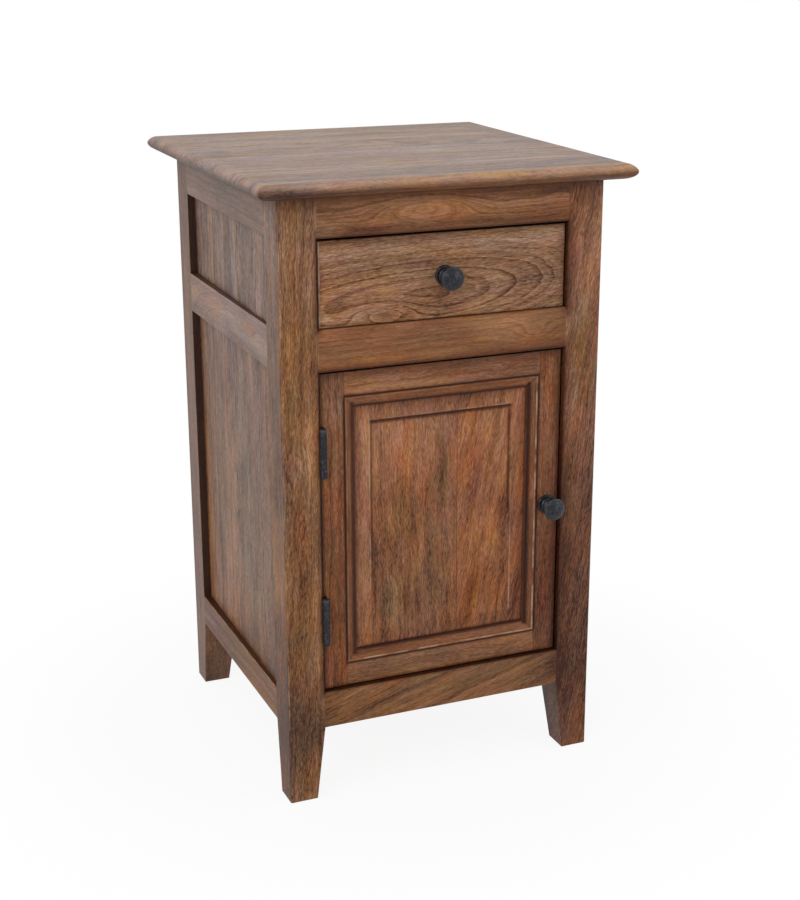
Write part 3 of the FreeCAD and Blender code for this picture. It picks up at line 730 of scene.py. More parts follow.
def figure_group() -> bpy.types.NodeTree:
    """The figure of solid wood as one group of nodes, in millimetres.

    The point's three numbers run along the grain, across the board and into it.
    Rings are distances from the pith, which lies off the board and may bow and
    slope, plus slow noise. Colour follows the rings, streaks along the grain,
    short flecks and pores, with glaze, painted shade, wear and painted highlights from the surface's own
    values.

    Returns:
        The group, with a colour, a roughness and a height.
    """
    tree = bpy.data.node_groups.new("wood_figure", "ShaderNodeTree")
    for kind, names in FIGURE_SOCKETS.items():
        for name in names:
            tree.interface.new_socket(name=name, in_out="INPUT", socket_type=f"NodeSocket{kind}")
    for name, kind in (("Color", "Color"), ("Roughness", "Float"), ("Height", "Float")):
        tree.interface.new_socket(name=name, in_out="OUTPUT", socket_type=f"NodeSocket{kind}")
    s = Sketch(tree)
    given = s.node("NodeGroupInput").outputs
    out = s.node("NodeGroupOutput").inputs
    along, across, depth = s.parts(given["Point"])
    pith_a, pith_b, pith_c = s.parts(given["Pith"])

    def grained(length: float, width: float) -> Socket:
        """The point shrunk to cells of a length along the grain and a width across it."""
        return s.shrunk((far, b, c), length, width)

    # Each strip of a glued board comes from another place in the log
    luck = s.chance(s.total(given["Strip"], given["Seed"]))
    far = s.total(along, s.product(s.total(given["Strip"], given["Seed"]), 97.0))
    glued = s.math("MINIMUM", given["Strip"], 1.0)
    shift = s.swing(luck, glued, 90.0)

    # The grain slopes and bows with the pith, wanders slowly and waves a little
    run = s.math("SUBTRACT", along, pith_a)
    slope = s.total(given["Slope"], s.product(given["Strip"], given["Lean"]))
    b = s.math("SUBTRACT", across, s.product(run, slope))
    square = s.product(run, run)
    level_off = s.total(1.0, s.math("DIVIDE", square, s.product(given["Reach"], given["Reach"])))
    bowed = s.math("DIVIDE", s.product(square, given["Bow"]), level_off)
    c = s.math("SUBTRACT", depth, bowed)
    drift_b, drift_c, _ = s.coloured(s.noise(grained(150.0, 55.0), 2.0))
    wave_b, wave_c, _ = s.coloured(s.noise(grained(26.0, 14.0), 1.0))
    wide = s.product(given["Wander"], 2.0)
    narrow = s.product(given["Wander"], 0.5)
    b = s.total(b, s.swing(drift_b, wide), s.product(wave_b, narrow))
    c = s.total(c, s.swing(drift_c, wide), s.product(wave_c, narrow))

    # Rings round the pith, each ending in a thin dark line
    side = s.math("SUBTRACT", b, s.total(pith_b, shift))
    deep = s.math("SUBTRACT", c, pith_c)
    radius = s.math("SQRT", s.total(s.product(side, side), s.product(deep, deep)))
    ripple = s.noise(grained(22.0, 5.0), 2.0)
    start = s.total(s.math("DIVIDE", radius, given["Ring"]), s.swing(ripple, 0.35))
    ring = s.total(start, s.product(given["Seed"], 5.3), given["Swell"])
    bands = s.noise_line(s.product(ring, 0.8), 3.0, 0.62)
    warp = s.total(ring, s.product(s.noise_line(s.product(ring, 0.31), 1.0), 2.0))

    def late_wood(rate: float, start: Number) -> Socket:
        """Dark lines, every one with its own strength.

        Args:
            rate: How many lines there are to a ring.
            start: Where in its share of the ring a line starts to darken.

        Returns:
            How dark it is, from 0 to 1.
        """
        place = s.product(warp, rate)
        part = s.math("FRACT", place)
        rise = s.product(s.step(part, start, 0.94), s.step(part, 0.94, 1.0, 1.0, 0.0))
        return s.product(rise, s.total(0.3, s.product(s.chance(s.math("FLOOR", place)), 0.7)))

    line = s.total(late_wood(1.0, given["Soft"]), s.product(late_wood(3.0, 0.5), 0.3))

    # Streaks, fibres, flecks, pores, clouds and broad drifts of colour, none of them bowed
    c = s.total(c, bowed)
    streak = s.noise(grained(190.0, 5.5), 3.0, 0.6)
    fibre = s.noise(grained(24.0, 1.9), 3.0, 0.6)
    fleck = s.noise(grained(6.0, 1.05), 2.0, 0.6)
    pore = s.noise(grained(6.0, 0.75), 1.0)
    crowd = s.noise(grained(60.0, 7.0), 2.0)
    edge = s.total(0.66, s.product(crowd, -0.16))
    pores = s.math("MULTIPLY", s.total(pore, s.product(edge, -1.0)), 14.0, clamp=True)
    broad_r, broad_g, _ = s.coloured(s.noise(grained(230.0, 34.0), 2.0))
    cloud_r, cloud_g, cloud_b = s.coloured(s.noise(grained(48.0, 15.0), 2.0))
    fibre_r, fibre_g, fibre_b = s.coloured(fibre)
    tone = s.total(
        0.5, given["Tone"], given["Patch"],
        s.swing(bands, given["Bands"], 0.6), s.swing(streak, given["Streaks"], 0.6),
        s.product(given["Fibre"], s.total(s.swing(fibre_r, 0.55), s.swing(fleck))),
        s.swing(cloud_r, given["Clouds"], 0.6), s.swing(broad_r, 0.5), s.product(luck, glued, 0.16),
        s.product(line, given["Lines"], -1.0), s.product(pores, given["Pores"], -1.0),
    )
    colour = s.mix(s.slope(tone, 0.0, 0.5), given["Dark"], given["Body"])
    colour = s.mix(s.slope(tone, 0.5, 1.0), colour, given["Light"])

    # Golden and grey places, and red and green ones, which keep the lightness
    gold = s.total(s.swing(broad_g, 5.0), s.swing(cloud_g, 5.0), s.swing(fibre_g, 1.6))
    gold = s.total(s.product(given["Blush"], gold), given["Patch Blush"])
    red = s.total(s.swing(cloud_b, 6.0), s.swing(fibre_b, 2.6))
    red = s.total(s.product(given["Blush"], red), given["Patch Red"])
    tint = s.point(
        s.total(1.0, s.product(gold, 0.09), s.product(red, 0.05)), s.total(1.0, s.product(red, -0.05)),
        s.total(1.0, s.product(gold, -0.26)),
    )
    colour = s.mix(1.0, colour, tint, "MULTIPLY")

    # Wear and painted highlights on arrises, glaze and painted shade in recesses, gaps and under the top, both
    # broken up
    rub = s.noise(s.shrunk((along, across, depth), 22.0, 22.0), 3.0, 0.6)
    worn = s.product(given["Wear"], s.step(rub, 0.36, 0.62), 0.75)
    colour = s.mix(worn, colour, linear(*BARE_WOOD_AND_HIGHLIGHT))
    dirt_and_shade = s.product(given["GlazeAndShade"], s.total(0.72, s.product(rub, 0.5)))
    glaze_and_shade_tint = s.point(*(s.math("POWER", math.exp(-each), dirt_and_shade) for each in GLAZE_AND_SHADE_DEPTHS))
    colour = s.mix(1.0, colour, glaze_and_shade_tint, "MULTIPLY")
    s.join(colour, out["Color"])
    rough = s.total(0.40, s.product(fleck, 0.12), s.product(dirt_and_shade, 0.1), s.product(pores, 0.1))
    s.join(rough, out["Roughness"])
    s.join(s.total(s.product(fleck, 0.4), s.product(pores, -0.8), s.product(fibre, 0.7)), out["Height"])
    return tree


@dataclass(frozen=True)
class Stain:
    """Three colours of one stained wood: late wood, body and early wood."""

    dark: tuple[int, int, int]
    body: tuple[int, int, int]
    light: tuple[int, int, int]


BROWN = Stain((74, 40, 18), (143, 103, 74), (190, 154, 122))
GOLDEN = Stain((60, 28, 8), (136, 90, 56), (186, 136, 98))
OLIVE = Stain((56, 28, 10), (128, 87, 55), (182, 138, 102))
ROSE = Stain((52, 24, 12), (127, 83, 57), (184, 136, 110))
RUSSET = Stain((44, 18, 6), (116, 71, 43), (164, 116, 84))
CHESTNUT = Stain((60, 28, 12), (142, 91, 60), (190, 138, 102))
UMBER = Stain((46, 24, 12), (110, 74, 50), (150, 114, 88))
# These two are UMBER and BROWN greyed: painted sheen for the upper side pieces and for the top
SHEEN_GREYED_UMBER = Stain((50, 32, 22), (113, 86, 72), (152, 124, 108))
SHEEN_GREYED_BROWN = Stain((70, 44, 30), (143, 117, 104), (190, 162, 140))
INNER = Stain((84, 58, 40), (132, 96, 66), (168, 130, 92))


@dataclass(frozen=True)
class Patch:
    """A soft spot on a board: darker or lighter, more golden or redder, or with its rings swollen.

    Its place and half sizes are along the grain and across it, in millimetres.
    """

    along: float
    across: float
    half_along: float
    half_across: float
    tone: float = 0.0
    blush: float = 0.0
    red: float = 0.0
    swell: float = 0.0


def patched(*rows: Sequence[float]) -> tuple[Patch, ...]:
    """Patches from rows of numbers, in the order of a patch's fields."""
    return tuple(Patch(*row) for row in rows)


@dataclass(frozen=True)
class Timber:
    """One board's stain and its place in the log.

    The pith's three numbers are millimetres along the grain, across the board
    and into it, from the frame's origin.
    """

    stain: Stain
    grain: Axis
    across: Axis
    pith: tuple[float, float, float]
    ring: float = 6.0
    bow: float = 0.0
    reach: float = 1000.0
    soft: float = 0.76
    slope: float = 0.0
    lean: float = 0.0
    wander: float = 6.0
    bands: float = 0.7
    lines: float = 0.4
    streaks: float = 0.6
    blush: float = 0.5
    tone: float = 0.0
    seed: float = 1.0
    strips: tuple[float, ...] = ()
    fibre: float = 1.0
    clouds: float = 0.7
    pores: float = 0.10
    gloss: float = 0.2
    patches: tuple[Patch, ...] = ()

    def material(self, name: str) -> bpy.types.Material:
        """The board's own material.

        Args:
            name: The material's name.

        Returns:
            The material, which reads object coordinates and the glaze and wear values.
        """
        made, s, shader = fresh_material(name)
        xyz = s.place()
        axes = (self.grain.value, self.across.value, 3 - self.grain.value - self.across.value)
        along, wide, deep = (xyz[axis] for axis in axes)
        group = s.node("ShaderNodeGroup", node_tree=bpy.data.node_groups["wood_figure"])
        given = group.inputs
        s.join(s.point(along, wide, deep), given["Point"])
        given["Pith"].default_value = self.pith
        for each in BOARD_NUMBERS:
            given[each].default_value = getattr(self, each.lower())
        for each in STAIN_COLOURS:
            given[each].default_value = linear(*getattr(self.stain, each.lower()))
        glaze_and_shade = s.attribute("glaze_and_shade")
        if self.strips:
            steps = [s.math("GREATER_THAN", wide, joint) for joint in self.strips]
            s.join(s.total(*steps, 0.0), given["Strip"])
            gaps = [s.math("ABSOLUTE", s.math("SUBTRACT", wide, joint)) for joint in self.strips]
            nearest = reduce(lambda first, second: s.math("MINIMUM", first, second), gaps)
            glaze_and_shade = s.math("MAXIMUM", glaze_and_shade, s.step(nearest, 0.1, 0.6, JOINT_GLAZE, 0.0))
        s.join(glaze_and_shade, given["GlazeAndShade"])
        self.spots(s, along, wide, given)
        s.join(s.attribute("wear"), given["Wear"])
        s.join(group.outputs["Color"], shader.inputs["Base Color"])
        s.join(group.outputs["Roughness"], shader.inputs["Roughness"])
        shader.inputs["Specular IOR Level"].default_value = self.gloss
        s.relief(group.outputs["Height"], GRAIN_RELIEF, shader)
        return made

    def spots(self, s: Sketch, along: Socket, across: Socket, given: object) -> None:
        """Add up the board's patches.

        Each counts by the exponential of minus the squared distance from its
        middle, with both ways measured in its half sizes.

        Args:
            s: The sketch of the material.
            along: The place along the grain.
            across: The place across it.
            given: The figure group's inputs.
        """
        changes = {"Patch": "tone", "Patch Blush": "blush", "Patch Red": "red", "Swell": "swell"}
        amounts = []
        for patch in self.patches:
            a = s.product(s.total(along, -patch.along), 1 / patch.half_along)
            b = s.product(s.total(across, -patch.across), 1 / patch.half_across)
            away = s.total(s.product(a, a), s.product(b, b))
            amounts.append(s.math("POWER", math.e, s.product(away, -1.0)))
        for socket, name in changes.items():
            shares = [(amount, getattr(patch, name)) for amount, patch in zip(amounts, self.patches)]
            terms = [s.product(amount, value) for amount, value in shares if value]
            if terms:
                s.join(s.total(*terms, 0.0), given[socket])


@dataclass(frozen=True)
class Iron:
    """Blackened iron, a little worn to grey on what stands proud."""

    name: str
    body: tuple[int, int, int] = (25, 26, 31)
    worn: tuple[int, int, int] = (88, 90, 100)
    rust: tuple[int, int, int] = (52, 46, 42)
    roughness: float = 0.40
    wear: float = 0.3

    def material(self) -> bpy.types.Material:
        """The metal's material, from noise on object coordinates."""
        made, s, shader = fresh_material(self.name)
        place = s.place()
        coarse = s.noise(s.shrunk(place, 3.0, 3.0), 4.0, 0.6)
        fine = s.noise(s.shrunk(place, 0.5, 0.5), 3.0, 0.6)
        rubbed = s.product(s.step(coarse, 0.42, 0.72), self.wear)
        proud = s.product(s.attribute("wear"), s.step(fine, 0.35, 0.6), 0.8)
        colour = s.mix(s.math("MAXIMUM", rubbed, proud), linear(*self.body), linear(*self.worn))
        colour = s.mix(s.product(s.step(fine, 0.6, 0.72), 0.35), colour, linear(*self.rust))
        s.join(colour, shader.inputs["Base Color"])
        shader.inputs["Metallic"].default_value = 0.55
        s.join(s.total(self.roughness, s.product(coarse, 0.22), -0.11), shader.inputs["Roughness"])
        s.relief(s.total(coarse, s.product(fine, 0.35)), IRON_RELIEF, shader)
        return made


# Pieces


@dataclass
class Workshop:
    """Makes the objects, links them into the scene and parents them to their bodies."""

    glaze_and_shade: GlazeAndShade

    def piece(
        self, name: str, surface: Surface, material: bpy.types.Material, body: str, slot: str,
        replaced: Sequence[str], smooth_angle: float = 40.0, cutter: Optional[Surface] = None,
    ) -> bpy.types.Object:
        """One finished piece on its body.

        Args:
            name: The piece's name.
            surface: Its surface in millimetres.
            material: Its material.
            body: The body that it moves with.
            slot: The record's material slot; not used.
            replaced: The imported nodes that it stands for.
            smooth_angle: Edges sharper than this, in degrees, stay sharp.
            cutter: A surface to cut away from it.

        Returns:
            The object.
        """
        mesh = self.mesh(name, surface)
        if cutter is not None:
            mesh = self.cut(mesh, self.mesh(f"{name}_cutter", cutter))
        mesh.name = f"{name}_finished"
        mesh.shade_smooth()
        mesh.set_sharp_from_angle(angle=math.radians(smooth_angle))
        mesh.materials.append(material)
        made = bpy.data.objects.new(mesh.name, mesh)
        bpy.context.scene.collection.objects.link(made)
        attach(made, body)
        if replaced:
            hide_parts(*replaced)
        LOG.info("%s: %d points, %d faces", name, len(mesh.vertices), len(mesh.polygons))
        return made

    def board(self, name: str, surface: Surface, timber: Timber, body: str, slot: str) -> None:
        """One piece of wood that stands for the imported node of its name."""
        self.piece(name, surface, timber.material(name), body, slot, [name])

    def mesh(self, name: str, surface: Surface) -> bpy.types.Mesh:
        """A mesh in metres with glaze and painted shade, and wear and painted highlights, on its points.

        Args:
            name: The mesh's name.
            surface: The surface in millimetres.

        Returns:
            The mesh.
        """
        made = bpy.data.meshes.new(name)
        faces = surface.quads.tolist() + surface.triangles.tolist()
        made.from_pydata((surface.points * MM).tolist(), [], faces)
        for attribute, amounts in (("glaze_and_shade", self.glaze_and_shade.amount(surface.points)), ("wear", surface.wear)):
            layer = made.attributes.new(attribute, "FLOAT", "POINT")
            layer.data.foreach_set("value", amounts.astype(np.float32))
        return made

    def cut(self, mesh: bpy.types.Mesh, cutter: bpy.types.Mesh) -> bpy.types.Mesh:
        """One mesh less another, with wear kept only where it was.

        Args:
            mesh: The mesh that is cut.
            cutter: The mesh that is taken away.

        Returns:
            A new mesh.
        """
        held = [bpy.data.objects.new(m.name, m) for m in (mesh, cutter)]
        for each in held:
            bpy.context.scene.collection.objects.link(each)
        change = held[0].modifiers.new("cut", "BOOLEAN")
        change.operation = "DIFFERENCE"
        change.solver = "EXACT"
        change.object = held[1]
        graph = bpy.context.evaluated_depsgraph_get()
        result = bpy.data.meshes.new_from_object(held[0].evaluated_get(graph))
        for each in held:
            old = each.data
            bpy.data.objects.remove(each)
            bpy.data.meshes.remove(old)
        return result

    def dress(self, node: str, material: bpy.types.Material, ease: float = 0.0) -> None:
        """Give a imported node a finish, and soften its edges where ease is over zero.

        Args:
            node: The node's name.
            material: Its finish.
            ease: The width of the softened edges in millimetres.
        """
        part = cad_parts[node]
        part.data.materials.clear()
        part.data.materials.append(material)
        if ease > 0:
            weld = part.modifiers.new("merge", "WELD")
            weld.merge_threshold = 0.01 * MM
            bevel = part.modifiers.new("ease", "BEVEL")
            bevel.width = ease * MM
            bevel.segments = 2
            bevel.limit_method = "ANGLE"
            bevel.angle_limit = math.radians(30)
        LOG.info("%s: packed shape kept", node)


@dataclass
class Board:
    """A straight board between two corners, with eased edges along its grain."""

    low: Array
    high: Array
    along: Axis
    ease: float = 0.8
    end_ease: float = 0.0
    pitch: float = 14.0
    marks: tuple[float, ...] = ()

    def surface(self) -> Surface:
        """The board as a loft along its grain."""
        axis = self.along.value
        first, second = (axis + 1) % 3, (axis + 2) % 3
        u = stations(self.low[first], self.high[first], (self.ease,), self.pitch)
        v = stations(self.low[second], self.high[second], (self.ease,), self.pitch)
        heights = stations(self.low[axis], self.high[axis], (self.end_ease,), self.pitch, self.marks)
        section = (self.low[first], self.high[first], self.low[second], self.high[second])
        levels = straight_levels(heights, section, self.end_ease)
        return loft(u, v, levels, self.ease, (first, second, axis))


@dataclass
class Carcass:
    """Posts, rails, panels and top."""

    shop: Workshop
    foot: float = 30.0
    post_ease: float = 2.2
    foot_ease: float = 0.6
    rubbed_height: float = 130.0
    rubbed_reach: float = 45.0
    rubbed_shares: tuple[float, float] = (0.9, 0.35)
    rail_ease: float = 0.35
    side_rail_ease: float = 0.8
    panel_rise: float = 3.0
    panel_lean: float = 4.5
    panel_bevel: float = 0.5
    panel_play: float = 0.15
    nose_steps: int = 13
    nose_level: float = 653.0
    nose_upper: tuple[float, float] = (8.2, 1.58)
    nose_lower: tuple[float, float] = (15.0, 1.94)
    corner: float = 2.0
    body: str = "carcass"

    def build(self) -> None:
        """Make every board of the carcass."""
        self.inner = box("post_front_left")[1][:2]
        self.knee = box("side_bottom_rail_left")[0][2]
        rails = ("front_bottom_rail", "front_middle_rail", "front_top_rail")
        self.levels = [box(name)[end][2] for name in rails for end in (0, 1)]
        self.posts()
        self.rails()
        self.panels()
        self.top()

    def posts(self) -> None:
        """Four posts, tapered to the floor on their inner faces."""
        finishes = {
            "post_front_left": Timber(
                OLIVE, Axis.Z, Axis.X, (330.0, -220.0, -120.0), 5.0, bow=0.00004, slope=0.05, wander=8.0,
                streaks=0.9, lines=0.22, blush=0.8, tone=0.01, seed=3.1, fibre=1.2,
                # Rows across -177 with a half width of 0.9 tint only the outer side face: greyer along it,
                # most near the top, as a painted sheen, and darker, more golden and redder near the floor,
                # where less sheen is painted. The row at 84 along darkens the leg's front near the floor:
                # painted shade.
                patches=patched(
                    (330, -177, 3000, 0.9, -0.12, -0.2), (620, -177, 270, 0.9, 0, -1),
                    (60, -177, 170, 0.9, -0.2, 2.2, 0.6), (84, -157, 50, 40, -0.3, -0.6),
                    (74, -145, 26, 16, -0.14), (388, -145, 48, 11, 0.36, 0.5), (245, -157, 90, 8, -0.1),
                    (460, -172, 110, 7, -0.1), (245, -172, 36, 7, 0.12, 0.4), (200, -141, 50, 7, 0.26, 0.4),
                    (560, -140, 45, 7, 0.18), (340, -174, 26, 6, -0.14), (190, -174, 30, 6, -0.14),
                    (590, -174, 26, 6, 0.1), (376, -172, 14, 6, -0.12, 0, 1, 1.6),
                    (394, -145, 14, 5, -0.1, 0, 1, 1.6), (308, -160, 22, 7, -0.1, 0.4, 1, 1.8),
                    (140, -157, 25, 40, -0.07), (600, -157, 60, 40, 0.05, -0.3),
                ),
            ),
            "post_front_right": Timber(
                ROSE, Axis.Z, Axis.X, (500.0, 60.0, -90.0), 5.0, slope=0.17, wander=8.0, bands=0.45,
                streaks=0.7, lines=0.2, blush=0.8, seed=7.7, fibre=1.2,
                # The row across 177 with a half width of 0.9 greys only the outer side face: a painted sheen.
                # The row at 120 along darkens the lower post: painted shade.
                patches=patched(
                    (330, 177, 3000, 0.9, -0.1, -1.3), (120, 160, 190, 60, -0.34, 0.3, 0.2),
                    (24, 166, 50, 14, 0.2, 0.5), (76, 142, 34, 12, -0.18), (572, 145, 24, 10, 0.1),
                    (470, 146, 20, 16, -0.1), (380, 150, 40, 12, 0.18), (270, 154, 30, 9, 0.1),
                    (116, 150, 26, 12, -0.12), (640, 157, 22, 40, -0.08, -0.8),
                    (492, 152, 36, 12, -0.06, 0, -1.8),
                ),
            ),
            "post_back_left": Timber(
                UMBER, Axis.Z, Axis.Y, (300.0, 120.0, -230.0), 5.5, streaks=0.8, lines=0.2, blush=0.6,
                tone=-0.06, seed=9.2, gloss=0.35,
                patches=patched((400, 177, 500, 60, 0, -0.7)),
            ),
            "post_back_right": Timber(
                BROWN, Axis.Z, Axis.Y, (260.0, 100.0, 210.0), 5.0, wander=7.0, streaks=0.8, seed=12.6,
            ),
        }
        for name, timber in finishes.items():
            low, high = box(name)
            right, back = high[0] > 0, high[1] > 0
            heights = stations(low[2], high[2], (self.foot_ease,), marks=[self.knee, *self.levels[1:-1]])
            section = (low[0], high[0], low[1], high[1])
            levels = straight_levels(heights, section, self.foot_ease, (True, False))
            short = (high[0] - low[0] - self.foot) * np.clip(1 - heights / self.knee, 0, 1)
            levels.low_u, levels.high_u = levels.low_u + short * right, levels.high_u - short * (not right)
            levels.low_v, levels.high_v = levels.low_v + short * back, levels.high_v - short * (not back)
            radii = (0.0, self.post_ease)
            corners = np.zeros((2, 2))
            corners[int(right), int(back)] = self.post_ease
            u, v = stations(low[0], high[0], radii), stations(low[1], high[1], radii)
            surface = loft(u, v, levels, corners, (0, 1, 2))
            rubbed = np.abs(surface.points[:, 2] - self.rubbed_height) < self.rubbed_reach
            surface.wear = surface.wear**2 * np.where(rubbed, *self.rubbed_shares)
            self.shop.board(name, surface, timber, self.body, "carcass_wood")

    def rails(self) -> None:
        """Front, side and back rails between the posts."""
        finishes = {
            "front_top_rail": Timber(
                GOLDEN, Axis.X, Axis.Z, (-22.0, 640.0, -150.0), 4.4, bow=0.0004, reach=120.0, soft=0.55,
                wander=3.0, bands=1.2, lines=0.42, streaks=0.7, blush=0.8, tone=0.05, seed=21.0, fibre=0.7,
                patches=patched(
                    (-24, 626, 46, 11, 0, 0, 0, 4.2), (-118, 612, 16, 4, 0, 0, 0, 1.2),
                    (-100, 606, 40, 5, -0.15, -0.6, 1), (-122, 605, 14, 2.5, 0.22),
                    (-96, 627, 20, 8, 0.12, 0.2, 0.8), (-24, 622, 30, 9, 0.2), (80, 627, 70, 9, 0.16),
                    (60, 607, 70, 5, -0.08), (-50, 610, 24, 5, 0.1),
                ),
            ),
            "front_middle_rail": Timber(
                GOLDEN, Axis.X, Axis.Z, (98.0, 440.0, -140.0), 5.0, bow=0.0004, reach=120.0, soft=0.5,
                wander=3.0, bands=0.45, lines=0.2, streaks=0.4, blush=0.6, tone=-0.01, seed=24.0,
                fibre=0.55,
                patches=patched(
                    (100, 487, 27, 12, 0.03, 0.2, 0.3, 2.7), (-90, 506, 50, 8, -0.12, 0, 0.8),
                    (74, 502, 40, 13, 0.24, 0.6), (-60, 476, 90, 7, 0.14), (-40, 505, 20, 6, 0, 0, 0, 1.4),
                    (130, 476, 16, 12, -0.1),
                ),
            ),
            "front_bottom_rail": Timber(
                GOLDEN, Axis.X, Axis.Z, (60.0, 40.0, -120.0), 5.0, slope=0.3, bands=0.9, lines=0.22,
                blush=0.7, tone=-0.07, seed=27.0, fibre=0.8,
                patches=patched(
                    (0, 100, 400, 60, 0, -0.3, -0.6), (118, 106, 34, 24, -0.2, -0.4),
                    (134, 100, 12, 40, -0.16), (-134, 92, 14, 22, -0.2), (-64, 116, 15, 6, -0.16),
                ),
            ),
            "back_bottom_rail": Timber(GOLDEN, Axis.X, Axis.Z, (0.0, 60.0, 120.0), seed=30.0),
            "back_top_rail": Timber(GOLDEN, Axis.X, Axis.Z, (0.0, 660.0, 130.0), seed=33.0),
        }
        side = {
            "side_bottom_rail": Timber(
                UMBER, Axis.Y, Axis.Z, (20.0, 60.0, -120.0), streaks=0.7, lines=0.15, blush=0.9, tone=-0.03,
                seed=36.0, gloss=0.15, fibre=0.9,
                patches=patched((110, 100, 50, 60, 0.04, -1.2, 1.4), (-60, 100, 90, 60, 0.02, 0.7)),
            ),
            "side_middle_rail": Timber(
                SHEEN_GREYED_UMBER, Axis.Y, Axis.Z, (-60.0, 470.0, -140.0), bow=0.0007, streaks=0.7, lines=0.24, blush=0.9,
                tone=0.12, seed=39.0, gloss=0.35, fibre=0.9,
                patches=patched(
                    (60, 498, 70, 20, 0.05, 0, 1.2), (-60, 492, 30, 12, 0, 0, 0, 2),
                    (105, 474, 50, 10, -0.16), (-26, 506, 26, 9, 0.1),
                ),
            ),
            "side_top_rail": Timber(
                SHEEN_GREYED_UMBER, Axis.Y, Axis.Z, (0.0, 690.0, -130.0), lines=0.12, blush=0.7, seed=42.0, gloss=0.35,
                fibre=0.9,
            ),
        }
        for name, timber in side.items():
            for number, end in enumerate(("left", "right")):
                pith = (timber.pith[0], timber.pith[1], timber.pith[2] * (1 - 2 * number))
                finishes[f"{name}_{end}"] = replace(timber, pith=pith, seed=timber.seed + number)
        for name, timber in finishes.items():
            low, high = box(name)
            axis = timber.grain.value
            low[axis], high[axis] = self.inner[axis], -self.inner[axis]
            ease = self.side_rail_ease if name.startswith("side") else self.rail_ease
            surface = Board(low, high, timber.grain, ease).surface()
            self.shop.board(name, surface, timber, self.body, "carcass_wood")

    def panels(self) -> None:
        """Panels in the sides and the back, glued up from upright boards."""
        plain = Timber(
            UMBER, Axis.Z, Axis.Y, (280.0, -30.0, -95.0), 12.0, wander=9.0, bands=1.1, streaks=1.0,
            blush=0.6, tone=0.03, seed=51.0, fibre=1.9, gloss=0.3, clouds=1.1,
        )
        # The row at 124 along makes the foot of the lower side panels darker and more golden: painted for the
        # weaker sheen low on the sides.
        lower = patched(
            (270, 26, 80, 13, 0.28, 0.9), (400, 30, 60, 12, 0.04, 0, 0.8),
            (300, -40, 130, 36, -0.03, -0.5, -1.2), (300, 62, 60, 10, -0.1, -0.4, -1.2),
            (440, 0, 60, 200, 0, -0.9, 0.2), (290, 122, 160, 9, 0.04, 1.2),
            (124, -60, 42, 110, -0.36, 3.4, 0.7), (430, 79, 50, 20, -0.08), (150, 60, 60, 60, 0.04, 0.6, 1),
            (290, 0, 60, 20, -0.08, 0.4, 0.4, 2.4), (400, -90, 60, 40, 0.04, -0.6, 1),
        )
        finishes = {
            "side_lower_panel_left": replace(plain, strips=(-38.0, 58.0), patches=lower),
            "side_upper_panel_left": replace(
                plain, stain=SHEEN_GREYED_UMBER, pith=(560.0, -60.0, -100.0), seed=54.0, strips=(10.0,), tone=0.0,
                patches=patched((560, 84, 60, 22, -0.14, 0.6, 0.6), (555, -124, 60, 26, -0.08, 0.2)),
            ),
            "side_lower_panel_right": replace(
                plain, pith=(300.0, 40.0, 95.0), seed=57.0, strips=(-52.0, 30.0), patches=lower,
            ),
            "side_upper_panel_right": replace(
                plain, stain=SHEEN_GREYED_UMBER, pith=(560.0, 20.0, 100.0), seed=60.0, strips=(-20.0,), tone=0.02,
            ),
            "back_panel": replace(
                plain, across=Axis.X, pith=(300.0, 10.0, 80.0), seed=63.0, strips=(-70.0, 25.0, 90.0),
            ),
        }
        for name, timber in finishes.items():
            low, high = box(name)
            flat = Board(low, high, Axis.Z, 0.3)
            surface = self.side_panel(name) if name.startswith("side") else flat.surface()
            self.shop.board(name, surface, timber, self.body, "panel_wood")

    def side_panel(self, name: str) -> Surface:
        """A side panel: a tongue all round and a raised middle that fills the opening.

        The middle stands out further the nearer it is to the front.

        Args:
            name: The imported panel.

        Returns:
            Its surface as nested rectangles, from the inner face outward.
        """
        low, high = box(name)
        below, above = ("bottom", "middle") if "lower" in name else ("middle", "top")
        sill, lintel = box(f"side_{below}_rail_left")[1][2], box(f"side_{above}_rail_left")[0][2]
        side = np.sign(low[0])
        inner, outer = sorted((low[0], high[0]), key=abs)
        rise = outer + side * self.panel_rise
        inset = self.panel_play + self.panel_bevel * np.array([0.0, 0.0, 0.4, 1.0])
        edge = rise - side * self.panel_bevel * np.array([1.0, 0.4, 0.0])
        width = -self.inner[1]
        levels = nested_levels(
            np.array([inner, outer, outer + side * 0.01, *edge]), (low[1], high[1], low[2], high[2]),
            (-width, width, sill, lintel), inset, np.array([0.0, 0.0, 0.0, 0.5, 1.0, 0.6]),
        )
        surface = loft(stations(low[1], high[1]), stations(low[2], high[2]), levels, 0.01, (1, 2, 0))
        surface.wear *= surface.points[:, 2] < sill + 1.0
        raised = np.abs(surface.points[:, 0]) > abs(outer) + 0.02
        forward = (width - surface.points[raised, 1]) / (2 * width)
        surface.points[raised, 0] += side * self.panel_lean * forward
        return surface

